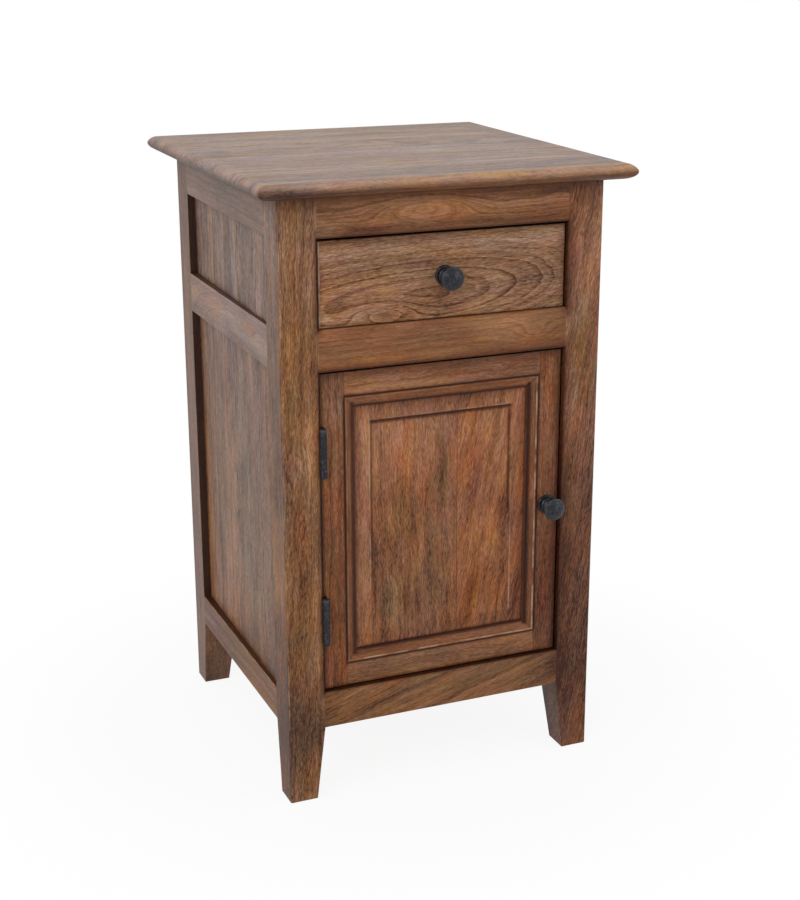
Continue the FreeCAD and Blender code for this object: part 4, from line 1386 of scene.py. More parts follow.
    def top(self) -> None:
        """The top: a rounded nose carried round a square.

        Above and below its widest level the nose is a quarter of a superellipse:
        inset is its width times one minus the cosine of an angle, and height goes
        with the sine, each raised to two over the exponent.
        """
        low, high = box("top_panel")
        turn = np.linspace(0, math.pi / 2, self.nose_steps)
        halves = []
        for (wide, power), end in ((self.nose_lower, low[2]), (self.nose_upper, high[2])):
            inset = wide * (1 - np.cos(turn) ** (2 / power))
            halves.append((inset, self.nose_level + (end - self.nose_level) * np.sin(turn) ** (2 / power)))
        (under, under_z), (over, over_z) = halves
        inset = np.concatenate([under[::-1], over[1:]])
        heights = np.concatenate([under_z[::-1], over_z[1:]])
        wear = np.concatenate([np.zeros(self.nose_steps), 0.5 * np.sin(2 * turn[1:]) ** 2])
        levels = Levels(heights, low[0] + inset, high[0] - inset, low[1] + inset, high[1] - inset, wear)
        u = stations(low[0], high[0], (self.corner,))
        v = stations(low[1], high[1], (self.corner,))
        timber = Timber(
            SHEEN_GREYED_BROWN, Axis.X, Axis.Y, (0.0, 20.0, 560.0), wander=7.0, lines=0.3, streaks=0.8, blush=0.6,
            seed=71.0, strips=(-128.0, -52.0, 35.0, 118.0), gloss=0.3,
            # The row at -190 across lightens a strip along the front of the top: a painted sheen.
            patches=patched(
                (-178, -201.5, 32, 4.5, -0.42, -1.6), (0, -199, 500, 5, 0.24, 1.4, 1.1),
                (-202, 0, 4, 500, -0.12, -0.8), (0, 150, 500, 110, -0.06, 0.2), (0, -190, 500, 7, 0.12),
                (0, -203.2, 500, 1, -0.1, 1, 0.4),
            ),
        )
        surface = loft(u, v, levels, self.corner, (0, 1, 2))
        self.shop.board("top_panel", surface, timber, self.body, "top_wood")


@dataclass
class Knob:
    """A turned iron knob: foot, cove, collar, neck and domed head."""

    shop: Workshop
    iron: bpy.types.Material
    sides: int = 64
    foot: tuple[float, float] = (10.6, 2.6)
    cove: tuple[float, float] = (7.2, 6.4)
    collar: tuple[float, float] = (8.8, 8.8)
    neck: tuple[float, float] = (6.6, 12.0)
    head: tuple[float, float] = (12.3, 18.8)
    rim: float = 20.8
    crown: float = 25.0
    bead: float = 1.3
    shoulder: float = 8.5
    soft: float = 0.5
    pole: float = 0.5

    def build(self, node: str, body: str) -> None:
        """Turn the knob that stands for a node.

        Args:
            node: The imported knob.
            body: The body that it moves with.
        """
        low, high = box(node)
        base = np.array([(low[0] + high[0]) / 2, high[1], (low[2] + high[2]) / 2])
        surface = revolved(self.profile(), self.sides, base, Axis.Y, -1.0)
        surface.wear = self.rubbed(base[1] - surface.points[:, 1], base, surface.points)
        self.shop.piece(node, surface, self.iron, body, "black_iron", [node])

    def profile(self) -> Array:
        """The knob's outline as radii and distances from the wood.

        Coves and the bell under the head are straight lines pushed sideways by a
        half sine wave, the rim is half a circle, and the crown part of a sphere.

        Returns:
            The points from foot to crown, without the two poles.
        """
        wide, deep = self.head
        half = (self.rim - deep) / 2
        bead = np.linspace(0, math.pi / 2, 6)
        foot = [self.foot[0] - self.bead * (1 - np.cos(bead)), self.foot[1] - self.bead * (1 - np.sin(bead))]
        turn = np.linspace(-math.pi / 2, math.pi / 2, 9)
        rim = [wide - half + half * np.cos(turn), deep + half + half * np.sin(turn)]
        dome = self.crown - self.rim
        sphere = (wide - half) ** 2 / (2 * dome) + dome / 2
        across = (wide - half) * np.linspace(0.94, 0.04, 12)
        crown = [across, self.crown - sphere + np.sqrt(sphere**2 - across**2)]
        shoulder = (self.shoulder, self.foot[1])
        return np.concatenate([
            np.array([(self.pole, 0.0), (self.foot[0], 0.0)]), np.stack(foot, -1), np.array([shoulder]),
            bend(shoulder, self.cove, 0.9), bend(self.cove, self.collar, -0.5),
            bend(self.collar, self.neck, 0.4), bend(self.neck, (wide - self.soft - half, deep), -2.0),
            np.stack(rim, -1)[1:], np.stack(crown, -1), np.array([(self.pole, self.crown)]),
        ])

    def rubbed(self, out: Array, base: Array, points: Array) -> Array:
        """Wear on the rim and the collar: a bell curve of the distance from the wood.

        Args:
            out: Each point's distance from the wood.
            base: The foot's centre.
            points: The knob's points.

        Returns:
            The wear, from 0 to 1.
        """
        radius = np.hypot(points[:, 0] - base[0], points[:, 2] - base[2])
        rim = np.exp(-(((out - self.rim) / 1.0) ** 2)) * (radius > self.head[0] - 1.6)
        collar = 0.6 * np.exp(-(((out - self.collar[1]) / 0.6) ** 2))
        return np.clip(0.5 * rim + collar, 0, 1)


@dataclass
class Drawer:
    """The drawer's front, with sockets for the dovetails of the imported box."""

    shop: Workshop
    ease: float = 0.7
    highlight_strip: float = 1.7
    rubbed_from: float = -30.0
    wear_and_highlight: float = 2.0
    play: float = 0.08
    tails: int = 3
    root_share: float = 0.44
    tip_share: float = 0.64
    lap: float = 7.0
    body: str = "drawer"

    def build(self) -> None:
        """Make the front and cut its sockets."""
        low, high = box("drawer_front")
        self.low, self.high = low, high
        self.side_low, self.side_high = box("drawer_side_left")
        timber = Timber(
            BROWN, Axis.X, Axis.Z, (-40.0, 538.0, -152.0), ring=5.0, bow=0.0009, slope=0.055, soft=0.62,
            wander=2.4, bands=0.95, lines=0.37, streaks=0.5, blush=0.6, seed=81.0, fibre=1.25,
            patches=patched(
                (0, 600, 300, 6, -0.1, -0.6), (20, 588, 120, 7, 0.14, -0.3),
                (-130, 548, 14, 22, 0.02, 0.8, 0.8), (110, 545, 26, 40, -0.04, -0.2),
                (-60, 520, 60, 9, -0.02, 0.5, 0.8), (-64, 523, 34, 11, 0, 0, 0, 3.4),
                (104, 528, 26, 14, -0.03, -0.2), (-130, 590, 20, 12, 0.12), (122, 566, 30, 22, 0.13),
                (-128, 524, 16, 18, 0.14), (60, 516, 34, 8, 0.1), (42, 556, 22, 26, 0.09),
                (0, 528, 15, 14, -0.13),
            ),
        )
        u = stations(low[2], high[2], (self.ease,), 10.0)
        v = stations(low[0], high[0], (self.ease,), 10.0)
        heights = stations(low[1], high[1], (self.ease,))
        levels = straight_levels(heights, (low[2], high[2], low[0], high[0]), self.ease, (True, False))
        surface = loft(u, v, levels, 0.3, (2, 0, 1))
        x = surface.points[:, 0]
        beside = np.minimum(x - low[0], high[0] - x) < self.ease
        above = surface.points[:, 2] > high[2] - self.ease
        along = np.where(above & (x > self.rubbed_from), 1.0, 0.2)
        # On the left the arris's wear is doubled and a strip of the front beside it gets the same value: a
        # painted highlight along the drawer's left edge, on top of its wear.
        surface.wear *= np.where(beside, np.where(x < 0, self.wear_and_highlight, 0.9), along)
        in_front = surface.points[:, 1] < low[1] + 0.1
        surface.wear[in_front & (x < low[0] + self.highlight_strip)] = self.wear_and_highlight
        self.shop.piece(
            "drawer_front", surface, timber.material("drawer_front"), self.body,
            "drawer_front_wood", ["drawer_front"], cutter=self.sockets(),
        )

    def sockets(self) -> Surface:
        """Cutters for the dovetail sockets: prisms wider at the tip than at the root."""
        back, tip_y = self.high[1], self.low[1] + self.lap - self.play
        pitch = (self.side_high[2] - self.side_low[2]) / self.tails
        root, tip = (pitch * share / 2 + self.play for share in (self.root_share, self.tip_share))
        prisms = []
        for side in (-1, 1):
            for index in range(self.tails):
                middle = self.side_low[2] + pitch * (index + 0.5)
                outline = np.array([
                    (back + 1, middle - root), (back, middle - root), (tip_y, middle - tip),
                    (tip_y, middle + tip), (back, middle + root), (back + 1, middle + root),
                ])
                near, far = side * (abs(self.side_high[0]) - self.play), side * (self.high[0] + 1)
                prisms.append(prism(outline, near, far))
        return together(prisms)


def prism(outline: Array, near: float, far: float) -> Surface:
    """A closed prism along X over an outline of six (y, z) points.

    Args:
        outline: Six points round the section.
        near: X of one end.
        far: X of the other.

    Returns:
        The prism, facing outward.
    """
    count = len(outline)
    ends = [np.column_stack([np.full(count, x), outline]) for x in (near, far)]
    cap = np.array([[0, 1, 4, 5], [1, 2, 3, 4]])
    quads = np.concatenate([walls(2, count), cap[:, ::-1], cap + count])
    return Surface(np.concatenate(ends), quads, no_triangles(), np.zeros(2 * count)).turned_outward()


@dataclass
class Door:
    """The door: frame, mitred moulding and a panel with a raised border."""

    shop: Workshop
    ease: float = 0.5
    width: float = 12.0
    proud: float = 0.5
    flat: float = 1.8
    bead: float = 0.8
    hollow: float = 0.7
    edge: float = 1.4
    fillet: float = 1.3
    set_back: float = 5.7
    border: float = 16.8
    border_rise: float = 1.4
    field_drop: float = 1.8
    field_ease: float = 1.2
    fade: float = 0.15
    body: str = "door"

    def build(self) -> None:
        """Make the frame, the moulding and the panel."""
        self.left = box("door_stile_hinge_side")[1][0]
        self.right = box("door_stile_latch_side")[0][0]
        self.low = box("door_bottom_rail")[1][2]
        self.top = box("door_top_rail")[0][2]
        self.face = box("door_stile_hinge_side")[0][1]
        self.frame()
        self.moulding()
        self.panel()

    def frame(self) -> None:
        """Two stiles and two rails between them."""
        finishes = {
            "door_stile_hinge_side": Timber(
                RUSSET, Axis.Z, Axis.X, (300.0, -170.0, -120.0), 4.5, bands=0.5, lines=0.2, blush=0.9,
                tone=-0.05, seed=91.0, fibre=1.1,
                patches=patched(
                    (400, -120, 62, 30, 0.18, -0.3, -0.5), (330, -112, 30, 14, 0.08, 0.3, 1),
                    (250, -122, 60, 30, 0.04, 0.4), (150, -122, 30, 30, 0, 0.6, 1.2),
                ),
            ),
            "door_stile_latch_side": Timber(
                RUSSET, Axis.Z, Axis.X, (260.0, 60.0, -110.0), 5.0, wander=7.0, bands=0.5, lines=0.2,
                streaks=0.7, blush=0.9, tone=-0.04, seed=94.0, fibre=1.1,
                patches=patched(
                    (180, 116, 40, 16, -0.26, 0, 1.2), (240, 128, 50, 10, -0.12, 0.2, 1.2),
                    (400, 122, 70, 30, 0.14, 0.3, 0.6), (280, 113, 34, 10, 0.1, 0.4),
                ),
            ),
            "door_top_rail": Timber(
                RUSSET, Axis.X, Axis.Z, (0.0, 420.0, -140.0), 5.0, wander=5.0, bands=0.5, lines=0.15,
                streaks=0.5, blush=0.7, tone=0.18, seed=97.0, fibre=0.9,
                patches=patched((-62, 452, 50, 20, 0.12, -0.2), (96, 450, 30, 20, -0.12)),
            ),
            "door_bottom_rail": Timber(
                RUSSET, Axis.X, Axis.Z, (-30.0, 90.0, -140.0), 5.0, wander=5.0, bands=0.5, lines=0.15,
                blush=0.7, tone=0.1, seed=99.0, fibre=0.9,
                patches=patched((0, 137, 200, 30, 0, -0.3, -0.6), (0, 129, 60, 6, 0.12, 0.3)),
            ),
        }
        for name, timber in finishes.items():
            low, high = box(name)
            if "rail" in name:
                low[0], high[0] = self.left, self.right
            surface = Board(low, high, timber.grain, self.ease, 0.0, 10.0).surface()
            self.shop.board(name, surface, timber, self.body, "door_frame_wood")

    def section(self) -> Array:
        """The moulding's section: inward from the frame, outward from the door's face.

        An outer flat with softened corners, a small step, a shallow hollow whose
        depth is a half sine wave, and a rounded inner lip.

        Returns:
            The section's points.
        """
        back, lip = -self.set_back, -self.set_back + self.edge
        start = (self.flat + self.bead, self.proud - self.bead)
        end = (self.width - self.fillet, lip + self.hollow)
        outer = np.array([
            (0.0, back), (0.0, self.proud - 0.45), (0.15, self.proud - 0.13), (0.45, self.proud),
            (self.flat - 0.2, self.proud), (self.flat + 0.25, self.proud - 0.15),
            (self.flat + 0.6, self.proud - 0.55), start,
        ])
        hollow = bend(start, end, self.hollow)
        turn = np.linspace(0, math.pi / 2, 6)[1:]
        drop = end[1] - lip
        lip_round = np.stack([end[0] + self.fillet * np.sin(turn), end[1] - drop * (1 - np.cos(turn))], -1)
        return np.concatenate([outer, hollow, lip_round, np.array([(self.width, back)])])

    def moulding(self) -> None:
        """Four strips: the section carried along, with ends mitred at 45 degrees.

        A point at inward p and share t of the length stands at p + t times the
        length less 2 p along the strip, so that both ends are cut at 45 degrees.
        Inward is the way along turned left.
        """
        section = self.section()
        # The wear on each strip's outer edge is also a painted highlight: strongest on the right and bottom
        # strips, faint on the left and top.
        strips = {
            "bottom": ((self.left, self.low), (1, 0), 0.9, 156.0),
            "top": ((self.right, self.top), (-1, 0), 0.2, 434.0),
            "left": ((self.left, self.top), (0, -1), 0.3, -103.0),
            "right": ((self.right, self.low), (0, 1), 1.0, 103.0),
        }
        for number, (side, (start, along, worn, middle)) in enumerate(strips.items()):
            length = self.right - self.left if along[0] else self.top - self.low
            grain, across = (Axis.X, Axis.Z) if along[0] else (Axis.Z, Axis.X)
            p, t = np.meshgrid(section[:, 0], stations(0.0, length, pitch=10.0) / length, indexing="ij")
            run = p + t * (length - 2 * p)
            x = start[0] + run * along[0] - p * along[1]
            z = start[1] + run * along[1] + p * along[0]
            y = np.broadcast_to(self.face - section[:, 1][:, None], x.shape)
            surface = closed_sweep(np.stack([x, y, z], -1))
            wear = np.zeros(x.shape)
            wear[2:6] = worn
            surface.wear[: wear.size] = wear.ravel()
            name = f"door_moulding_{side}"
            timber = Timber(
                RUSSET, grain, across, (100.0, middle + 60.0, -120.0), 5.0, wander=4.0, bands=0.4,
                lines=0.12, blush=0.7, tone=0.08, seed=101.0 + 3 * number, fibre=0.7,
            )
            self.shop.board(name, surface, timber, self.body, "door_frame_wood")

    def panel(self) -> None:
        """The panel: tongue, border rising inward, and the sunk field, in nested rectangles."""
        low, high = box("door_panel")
        front = self.face + self.set_back
        rise = np.array([0.0, 0.03, 0.08, 0.16, 0.28, 0.42, 0.58, 0.72, 0.84, 0.92, 0.965])
        turn = np.linspace(0, math.pi / 2, 5)
        ridge = self.width + self.border
        lift = self.border_rise
        inset = np.concatenate([
            self.width - 2 + (self.border + 2) * rise, ridge - 0.45 + 0.45 * np.sin(turn),
            ridge + self.field_ease * np.array([0.25, 0.5, 0.75, 1.0, 1.3]),
            ridge + self.field_ease + np.array([1.0, 2.0, 3.5, 5.5]),
        ])
        out = np.concatenate([
            lift * rise, lift - 0.35 * (1 - np.cos(turn)),
            lift - self.field_drop * np.array([0.42, 0.68, 0.87, 0.97, 1.0]),
            np.full(4, lift - self.field_drop),
        ])
        heights = np.concatenate([[high[1], front + 0.01], front - out])
        wear = np.zeros(len(heights))
        wear[len(rise): len(rise) + 7] = (0.2, 0.8, 1.0, 1.0, 0.9, 0.6, 0.3)
        tongue, opening = (low[2], high[2], low[0], high[0]), (self.low, self.top, self.left, self.right)
        levels = nested_levels(heights, tongue, opening, inset, wear)
        u, v = stations(low[2], high[2], pitch=9.0), stations(low[0], high[0], pitch=9.0)
        surface = loft(u, v, levels, 0.01, (2, 0, 1))
        self.level_field(surface)
        timber = Timber(
            CHESTNUT, Axis.Z, Axis.X, (230.0, 20.0, -95.0), 7.0, wander=9.0, bands=0.6, lines=0.1,
            slope=-0.02, lean=0.2, streaks=1.0, blush=0.8, tone=-0.02, seed=121.0, strips=(18.5,),
            fibre=1.05, clouds=0.9,
            patches=patched(
                (388, -50, 46, 36, 0.08, -0.5, 0.4), (322, -40, 26, 12, -0.16, -0.2, -1.4),
                (332, 2, 42, 9, -0.17, -0.3, -1.4), (225, -46, 60, 34, -0.15, -0.4, -1.2),
                (215, -5, 50, 14, -0.17, -0.2, -1), (345, 38, 45, 12, -0.1, 0.2, 0.8),
                (265, -76, 48, 8, -0.28), (294, -30, 20, 8, -0.26), (270, -14, 44, 9, -0.16, 0.4),
                (306, 66, 24, 15, -0.22, 0.3), (200, 0, 30, 140, -0.05, 0.3), (384, 38, 24, 26, 0.14),
                (204, 44, 22, 34, -0.1, 0.4), (270, 50, 110, 44, -0.02, 0.8, 0.2),
                (272, 60, 70, 9, 0.12, 0.6), (205, 84, 60, 14, -0.14, 0.2, 1.2),
                (195, 34, 45, 8, -0.02, 1.2, 0.4), (168, 0, 12, 140, -0.16, 0.3),
                (427, 0, 12, 140, -0.1, -0.2), (290, -88, 150, 7, 0.08, -0.4),
                (300, 102, 200, 12, -0.12, 0.2, 0.6),
            ),
        )
        self.shop.board("door_panel", surface, timber, self.body, "door_panel_wood")

    def level_field(self, surface: Surface) -> None:
        """Bring the field up flush with its border towards the bottom.

        The step is multiplied by a smooth rise from the fade share at the bottom
        to 1 at 70% of the field's height.

        Args:
            surface: The panel's surface, which is changed.
        """
        ridge = self.width + self.border
        crest = self.face + self.set_back - self.border_rise
        low, high = self.low + ridge, self.top - ridge
        x, z = surface.points[:, 0], surface.points[:, 2]
        inside = (x > self.left + ridge - 0.6) & (x < self.right - ridge + 0.6)
        inside &= (z > low - 0.6) & (z < high + 0.6) & (surface.points[:, 1] < crest + 3.0)
        share = np.clip((z - low) / (0.7 * (high - low)), 0, 1)
        keep = self.fade + (1 - self.fade) * share**2 * (3 - 2 * share)
        step = surface.points[:, 1] - crest
        surface.points[:, 1] = np.where(inside & (step > 0), crest + step * keep, surface.points[:, 1])
        sides = np.abs(np.stack([x - self.left - ridge, self.right - ridge - x, z - low, high - z]))
        kept = np.choose(sides.argmin(axis=0), [0.8, 1 - 0.8 * share, 0.0, 0.8])
        surface.wear = np.where(surface.points[:, 1] < crest + 3.0, surface.wear * kept, surface.wear)


def closed_sweep(points: Array) -> Surface:
    """A closed bar from sections in rows: walls round the section, fans at the ends.

    Args:
        points: Section points by stations by three numbers.

    Returns:
        The bar, facing outward.
    """
    count, length = points.shape[:2]
    row = np.arange(count) * length
    after = np.roll(row, -1)
    start, step = np.meshgrid(row, np.arange(length - 1), indexing="ij")
    beside = np.roll(start, -1, axis=0)
    quads = np.stack([start + step, beside + step, beside + step + 1, start + step + 1], -1).reshape(-1, 4)
    middle, total, end = points.mean(axis=0), count * length, length - 1
    first = np.stack([np.full(count, total), after, row], -1)
    last = np.stack([np.full(count, total + 1), row + end, after + end], -1)
    flat = np.concatenate([points.reshape(-1, 3), middle[:1], middle[-1:]])
    return Surface(flat, quads, np.concatenate([first, last]), np.zeros(len(flat))).turned_outward()


@dataclass
class Hinges:
    """Two butt hinges with five knuckles each, loose pins and slotted screws."""

    shop: Workshop
    iron: bpy.types.Material
    steel: bpy.types.Material
    radius: float = 3.75
    knuckles: int = 5
    gap: float = 0.3
    slit: float = 0.14
    plate: float = 1.5
    corner: float = 2.0
    chamfer: float = 0.1
    screw_spread: float = 0.66
    screw_head: float = 2.9
    screw_shank: float = 1.5
    slot_half: float = 0.35

    def build(self) -> None:
        """Make leaves, pins and screws."""
        low, high = box("hinge_pins")
        self.axis = ((low[0] + high[0]) / 2, (low[1] + high[1]) / 2)
        for level in ("upper", "lower"):
            for owner, body in (("post", "carcass"), ("door", "door")):
                name = f"{level}_hinge_{owner}_leaf"
                self.shop.piece(name, self.leaf(name, owner), self.iron, body, "hinge_black", [name])
        self.pins()
        self.screws("hinge_post_screws", "carcass", -1.0)
        self.screws("hinge_door_screws", "door", 1.0)

    def spans(self, owner: str) -> list[tuple[float, float]]:
        """Where a leaf's knuckles are.

        Args:
            owner: What the leaf is screwed to, post or door.

        Returns:
            Each knuckle's lower and upper end, every second one over the hinge's height.
        """
        low, high = box(f"{self.level}_hinge_post_leaf")
        pitch, half = (high[2] - low[2]) / self.knuckles, self.slit / 2
        ends = []
        for i in range(0 if owner == "post" else 1, self.knuckles, 2):
            start = low[2] + pitch * i + half * (i > 0)
            ends.append((start, low[2] + pitch * (i + 1) - half * (i < self.knuckles - 1)))
        return ends

    def leaf(self, name: str, owner: str) -> Surface:
        """A plate with rounded corners, tabs to its knuckles, and the knuckles.

        Args:
            name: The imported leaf.
            owner: What it is screwed to, post or door.

        Returns:
            All of it as one surface.
        """
        self.level = name.split("_")[0]
        low, high = box(name)
        x = box("post_front_left")[1][0] if owner == "post" else high[0] - self.plate
        post_low, post_high = box(f"{self.level}_hinge_post_leaf")
        root = self.axis[1] + self.radius + self.gap
        section = (root, high[1], post_low[2], post_high[2])
        u, v = stations(*section[:2], (self.corner,)), stations(*section[2:], (self.corner,))
        heights = stations(x, x + self.plate, (0.25,))
        parts = [loft(u, v, straight_levels(heights, section, 0.25), self.corner, (1, 2, 0))]
        for start, end in self.spans(owner):
            tab_low = np.array([x, self.axis[1] + 1.0, start + 0.2])
            tab_high = np.array([x + self.plate, root + 2.0, end - 0.2])
            parts += [Board(tab_low, tab_high, Axis.Z, 0.15).surface(), self.knuckle(start, end, post_high[2])]
        return together(parts)

    def knuckle(self, start: float, end: float, top: float) -> Surface:
        """One knuckle with softened ends, brighter towards the hinge's top.

        Args:
            start: Its lower end.
            end: Its upper end.
            top: The hinge's top.

        Returns:
            The knuckle.
        """
        bore, r, c = 2.2, self.radius, self.chamfer
        ease = [(bore, 0.0), (r - c, 0.0), (r - 0.3 * c, 0.3 * c), (r, c)]
        other = [(radius, end - start - up) for radius, up in reversed(ease)]
        made = revolved(
            np.array([*ease, (r, (end - start) / 2), *other]), 40, np.array([*self.axis, start]), Axis.Z, 1.0
        )
        # Wear at the hinge's top end also paints the highlight on it.
        made.wear = np.clip(1.2 - (top - made.points[:, 2]) / 0.8, 0, 1)
        return made

    def pins(self) -> None:
        """Two pins with domed heads, as one piece."""
        low, high = box("hinge_pins")
        wide, rise = (high[0] - low[0]) / 2, high[2] - box("upper_hinge_post_leaf")[1][2]
        turn = np.linspace(0, math.pi / 2, 6)
        across, out = wide * np.cos(turn * 0.93), rise * (0.25 + 0.75 * np.sin(turn))
        made = []
        for level in ("lower", "upper"):
            foot, top = (corner[2] for corner in box(f"{level}_hinge_post_leaf"))
            shank = np.array([(wide, foot), (2.0, foot + 0.05), (2.0, top - 0.05), (wide, top)])
            heads = np.stack([across, foot - out], -1)[::-1], np.stack([across, top + out], -1)
            profile = np.concatenate([heads[0], shank, heads[1]])
            profile[:, 1] -= foot
            made.append(revolved(profile, 32, np.array([*self.axis, foot]), Axis.Z, 1.0))
        self.shop.piece("hinge_pins", together(made), self.iron, "carcass", "hinge_black", ["hinge_pins"])

    def screws(self, node: str, body: str, way: float) -> None:
        """Six countersunk screws with a slot in each head, as one piece.

        Args:
            node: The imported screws.
            body: The body that they move with.
            way: 1 or -1, which way along X they point.
        """
        low, high = box(node)
        head, shank = self.screw_head, self.screw_shank
        face = low[0] if way > 0 else high[0]
        middle, length = (low[1] + high[1]) / 2, high[0] - low[0]
        profile = np.array([
            (0.4, 0.0), (head - 0.25, 0.0), (head, 0.12), (head, 0.3), (shank, 1.5), (shank, length - 4),
            (0.4, length),
        ])
        made, slots = [], []
        for level in ("lower", "upper"):
            z0, z1 = (corner[2] for corner in box(f"{level}_hinge_post_leaf"))
            for number in (-1, 0, 1):
                z = (z0 + z1) / 2 + number * (z1 - z0) * self.screw_spread / 2
                made.append(revolved(profile, 28, np.array([face, middle, z]), Axis.X, way))
                slot_low = np.array([face - 0.5, middle - 4, z - self.slot_half])
                slot_high = np.array([face + 0.5, middle + 4, z + self.slot_half])
                slots.append(Board(slot_low, slot_high, Axis.Y, 0.01).surface())
        whole, cutter = together(made), together(slots)
        self.shop.piece(node, whole, self.steel, body, "screw_steel", [node], cutter=cutter)


@dataclass
class Inside:
    """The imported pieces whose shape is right: they only get a finish."""

    shop: Workshop
    ease: float = 0.5
    screw_ease: float = 0.15
    catch_ease: float = 0.6

    def build(self, steel: bpy.types.Material, plastic: bpy.types.Material) -> None:
        """Dress boards, screws and the catch.

        Args:
            steel: The finish of screws and the strike plate.
            plastic: The finish of the catch.
        """
        boards = {
            "cabinet_floor": "XY", "top_cleat_front": "XY", "top_cleat_back": "XY",
            "drawer_runner_left": "YZ", "drawer_runner_right": "YZ", "drawer_kicker_left": "YZ",
            "drawer_kicker_right": "YZ", "drawer_stops": "XZ", "drawer_side_left": "YZ",
            "drawer_side_right": "YZ", "drawer_back": "XZ", "drawer_bottom": "XY",
        }
        for number, (name, ways) in enumerate(boards.items()):
            grain, across = (Axis[way] for way in ways)
            low, high = box(name)
            middle = (low + high) / 2
            third = 3 - grain.value - across.value
            pith = (middle[grain.value] + 60, middle[across.value] + 15, middle[third] + 60)
            timber = Timber(
                INNER, grain, across, pith, bands=0.5, lines=0.3, blush=0.3, tone=0.05, seed=141.0 + number,
            )
            self.shop.dress(name, timber.material(name), self.ease)
        knob_screws = ("drawer_knob_screw", "door_knob_screw")
        for name in ("top_screws", *knob_screws, "catch_screws", "strike_screw", "strike_plate"):
            self.shop.dress(name, steel, self.screw_ease)
        self.shop.dress("magnet_catch", plastic, self.catch_ease)


@dataclass
class Studio:
    """Camera, floor, light and background."""

    place: tuple[float, float, float] = (-672.61, -1684.52, 898.65)
    azimuth: float = 24.15
    elevation: float = 18.17
    roll: float = 0.38
    focal_pixels: float = 1672.18
    centre_pixels: tuple[float, float] = (448.2, 465.0)
    image: tuple[int, int] = (800, 900)
    sensor: float = 36.0
    sky: float = 0.62
    floor_tone: float = 0.93
    aim: tuple[float, float, float] = (0.0, 0.0, 0.33)

    def build(self) -> None:
        """Set the scene round the object."""
        self.camera()
        self.floor()
        self.lamps()
        self.world()
        bpy.context.scene.view_settings.view_transform = "Standard"

    def camera(self) -> None:
        """The photograph's camera: its focal length and centre given in pixels."""
        long_side = max(self.image)
        data = bpy.data.cameras.new("camera")
        data.sensor_width = self.sensor
        data.lens = self.focal_pixels * self.sensor / long_side
        data.shift_x = (self.image[0] / 2 - self.centre_pixels[0]) / long_side
        data.shift_y = (self.centre_pixels[1] - self.image[1] / 2) / long_side
        data.clip_end = 50.0
        made = bpy.data.objects.new("camera", data)
        turn = (
            Matrix.Rotation(math.radians(-self.azimuth), 4, "Z")
            @ Matrix.Rotation(math.radians(90 - self.elevation), 4, "X")
            @ Matrix.Rotation(math.radians(self.roll), 4, "Z")
        )
        made.matrix_world = Matrix.Translation(Vector(self.place) * MM) @ turn
        bpy.context.scene.collection.objects.link(made)
        bpy.context.scene.camera = made

    def floor(self) -> None:
        """A pale floor that keeps the object's shadow near it and is white far off."""
        mesh = bpy.data.meshes.new("floor")
        half, level = 6.0, -0.0003
        corners = [(-half, -half, level), (half, -half, level), (half, half, level), (-half, half, level)]
        mesh.from_pydata(corners, [], [(0, 1, 2, 3)])
        made, s, shader = fresh_material("floor")
        shader.inputs["Base Color"].default_value = (self.floor_tone,) * 3 + (1,)
        shader.inputs["Roughness"].default_value = 0.9
        shader.inputs["Specular IOR Level"].default_value = 0.0
        x, y, _ = s.parts(s.node("ShaderNodeTexCoord").outputs["Object"])
        away = s.math("SQRT", s.total(s.product(x, x), s.product(y, y)))
        share = s.product(s.seen(), s.step(away, 0.2, 0.6, 0.9, 1.0))
        white = s.node("ShaderNodeEmission").outputs[0]
        s.blend(share, shader.outputs[0], white, made.node_tree.nodes["Material Output"].inputs["Surface"])
        mesh.materials.append(made)
        plane = bpy.data.objects.new("floor", mesh)
        bpy.context.scene.collection.objects.link(plane)

    def lamps(self) -> None:
        """Two large soft lamps: one from the front left, one from the front right."""
        settings = {
            "key": ((-2.6, -1.5, 2.0), 2.2, 44.0),
            "fill": ((2.0, -2.2, 1.4), 2.0, 16.0),
        }
        for name, (place, size, power) in settings.items():
            data = bpy.data.lights.new(name, "AREA")
            data.shape = "SQUARE"
            data.size = size
            data.energy = power
            made = bpy.data.objects.new(name, data)
            made.location = place
            way = Vector(self.aim) - Vector(place)
            made.rotation_mode = "QUATERNION"
            made.rotation_quaternion = way.to_track_quat("-Z", "Y")
            bpy.context.scene.collection.objects.link(made)

    def world(self) -> None:
        """An even sky, seen as white by the camera and in reflections."""
        world = bpy.data.worlds.new("studio")
        world.use_nodes = True
        bpy.context.scene.world = world
        s = Sketch(world.node_tree)
        sky, white = world.node_tree.nodes["Background"], s.node("ShaderNodeBackground")
        for shader, strength in ((sky, self.sky), (white, 1.0)):
            shader.inputs["Color"].default_value = (1, 1, 1, 1)
            shader.inputs["Strength"].default_value = strength
        surface = world.node_tree.nodes["World Output"].inputs["Surface"]
        s.blend(s.seen(), sky.outputs[0], white.outputs[0], surface)


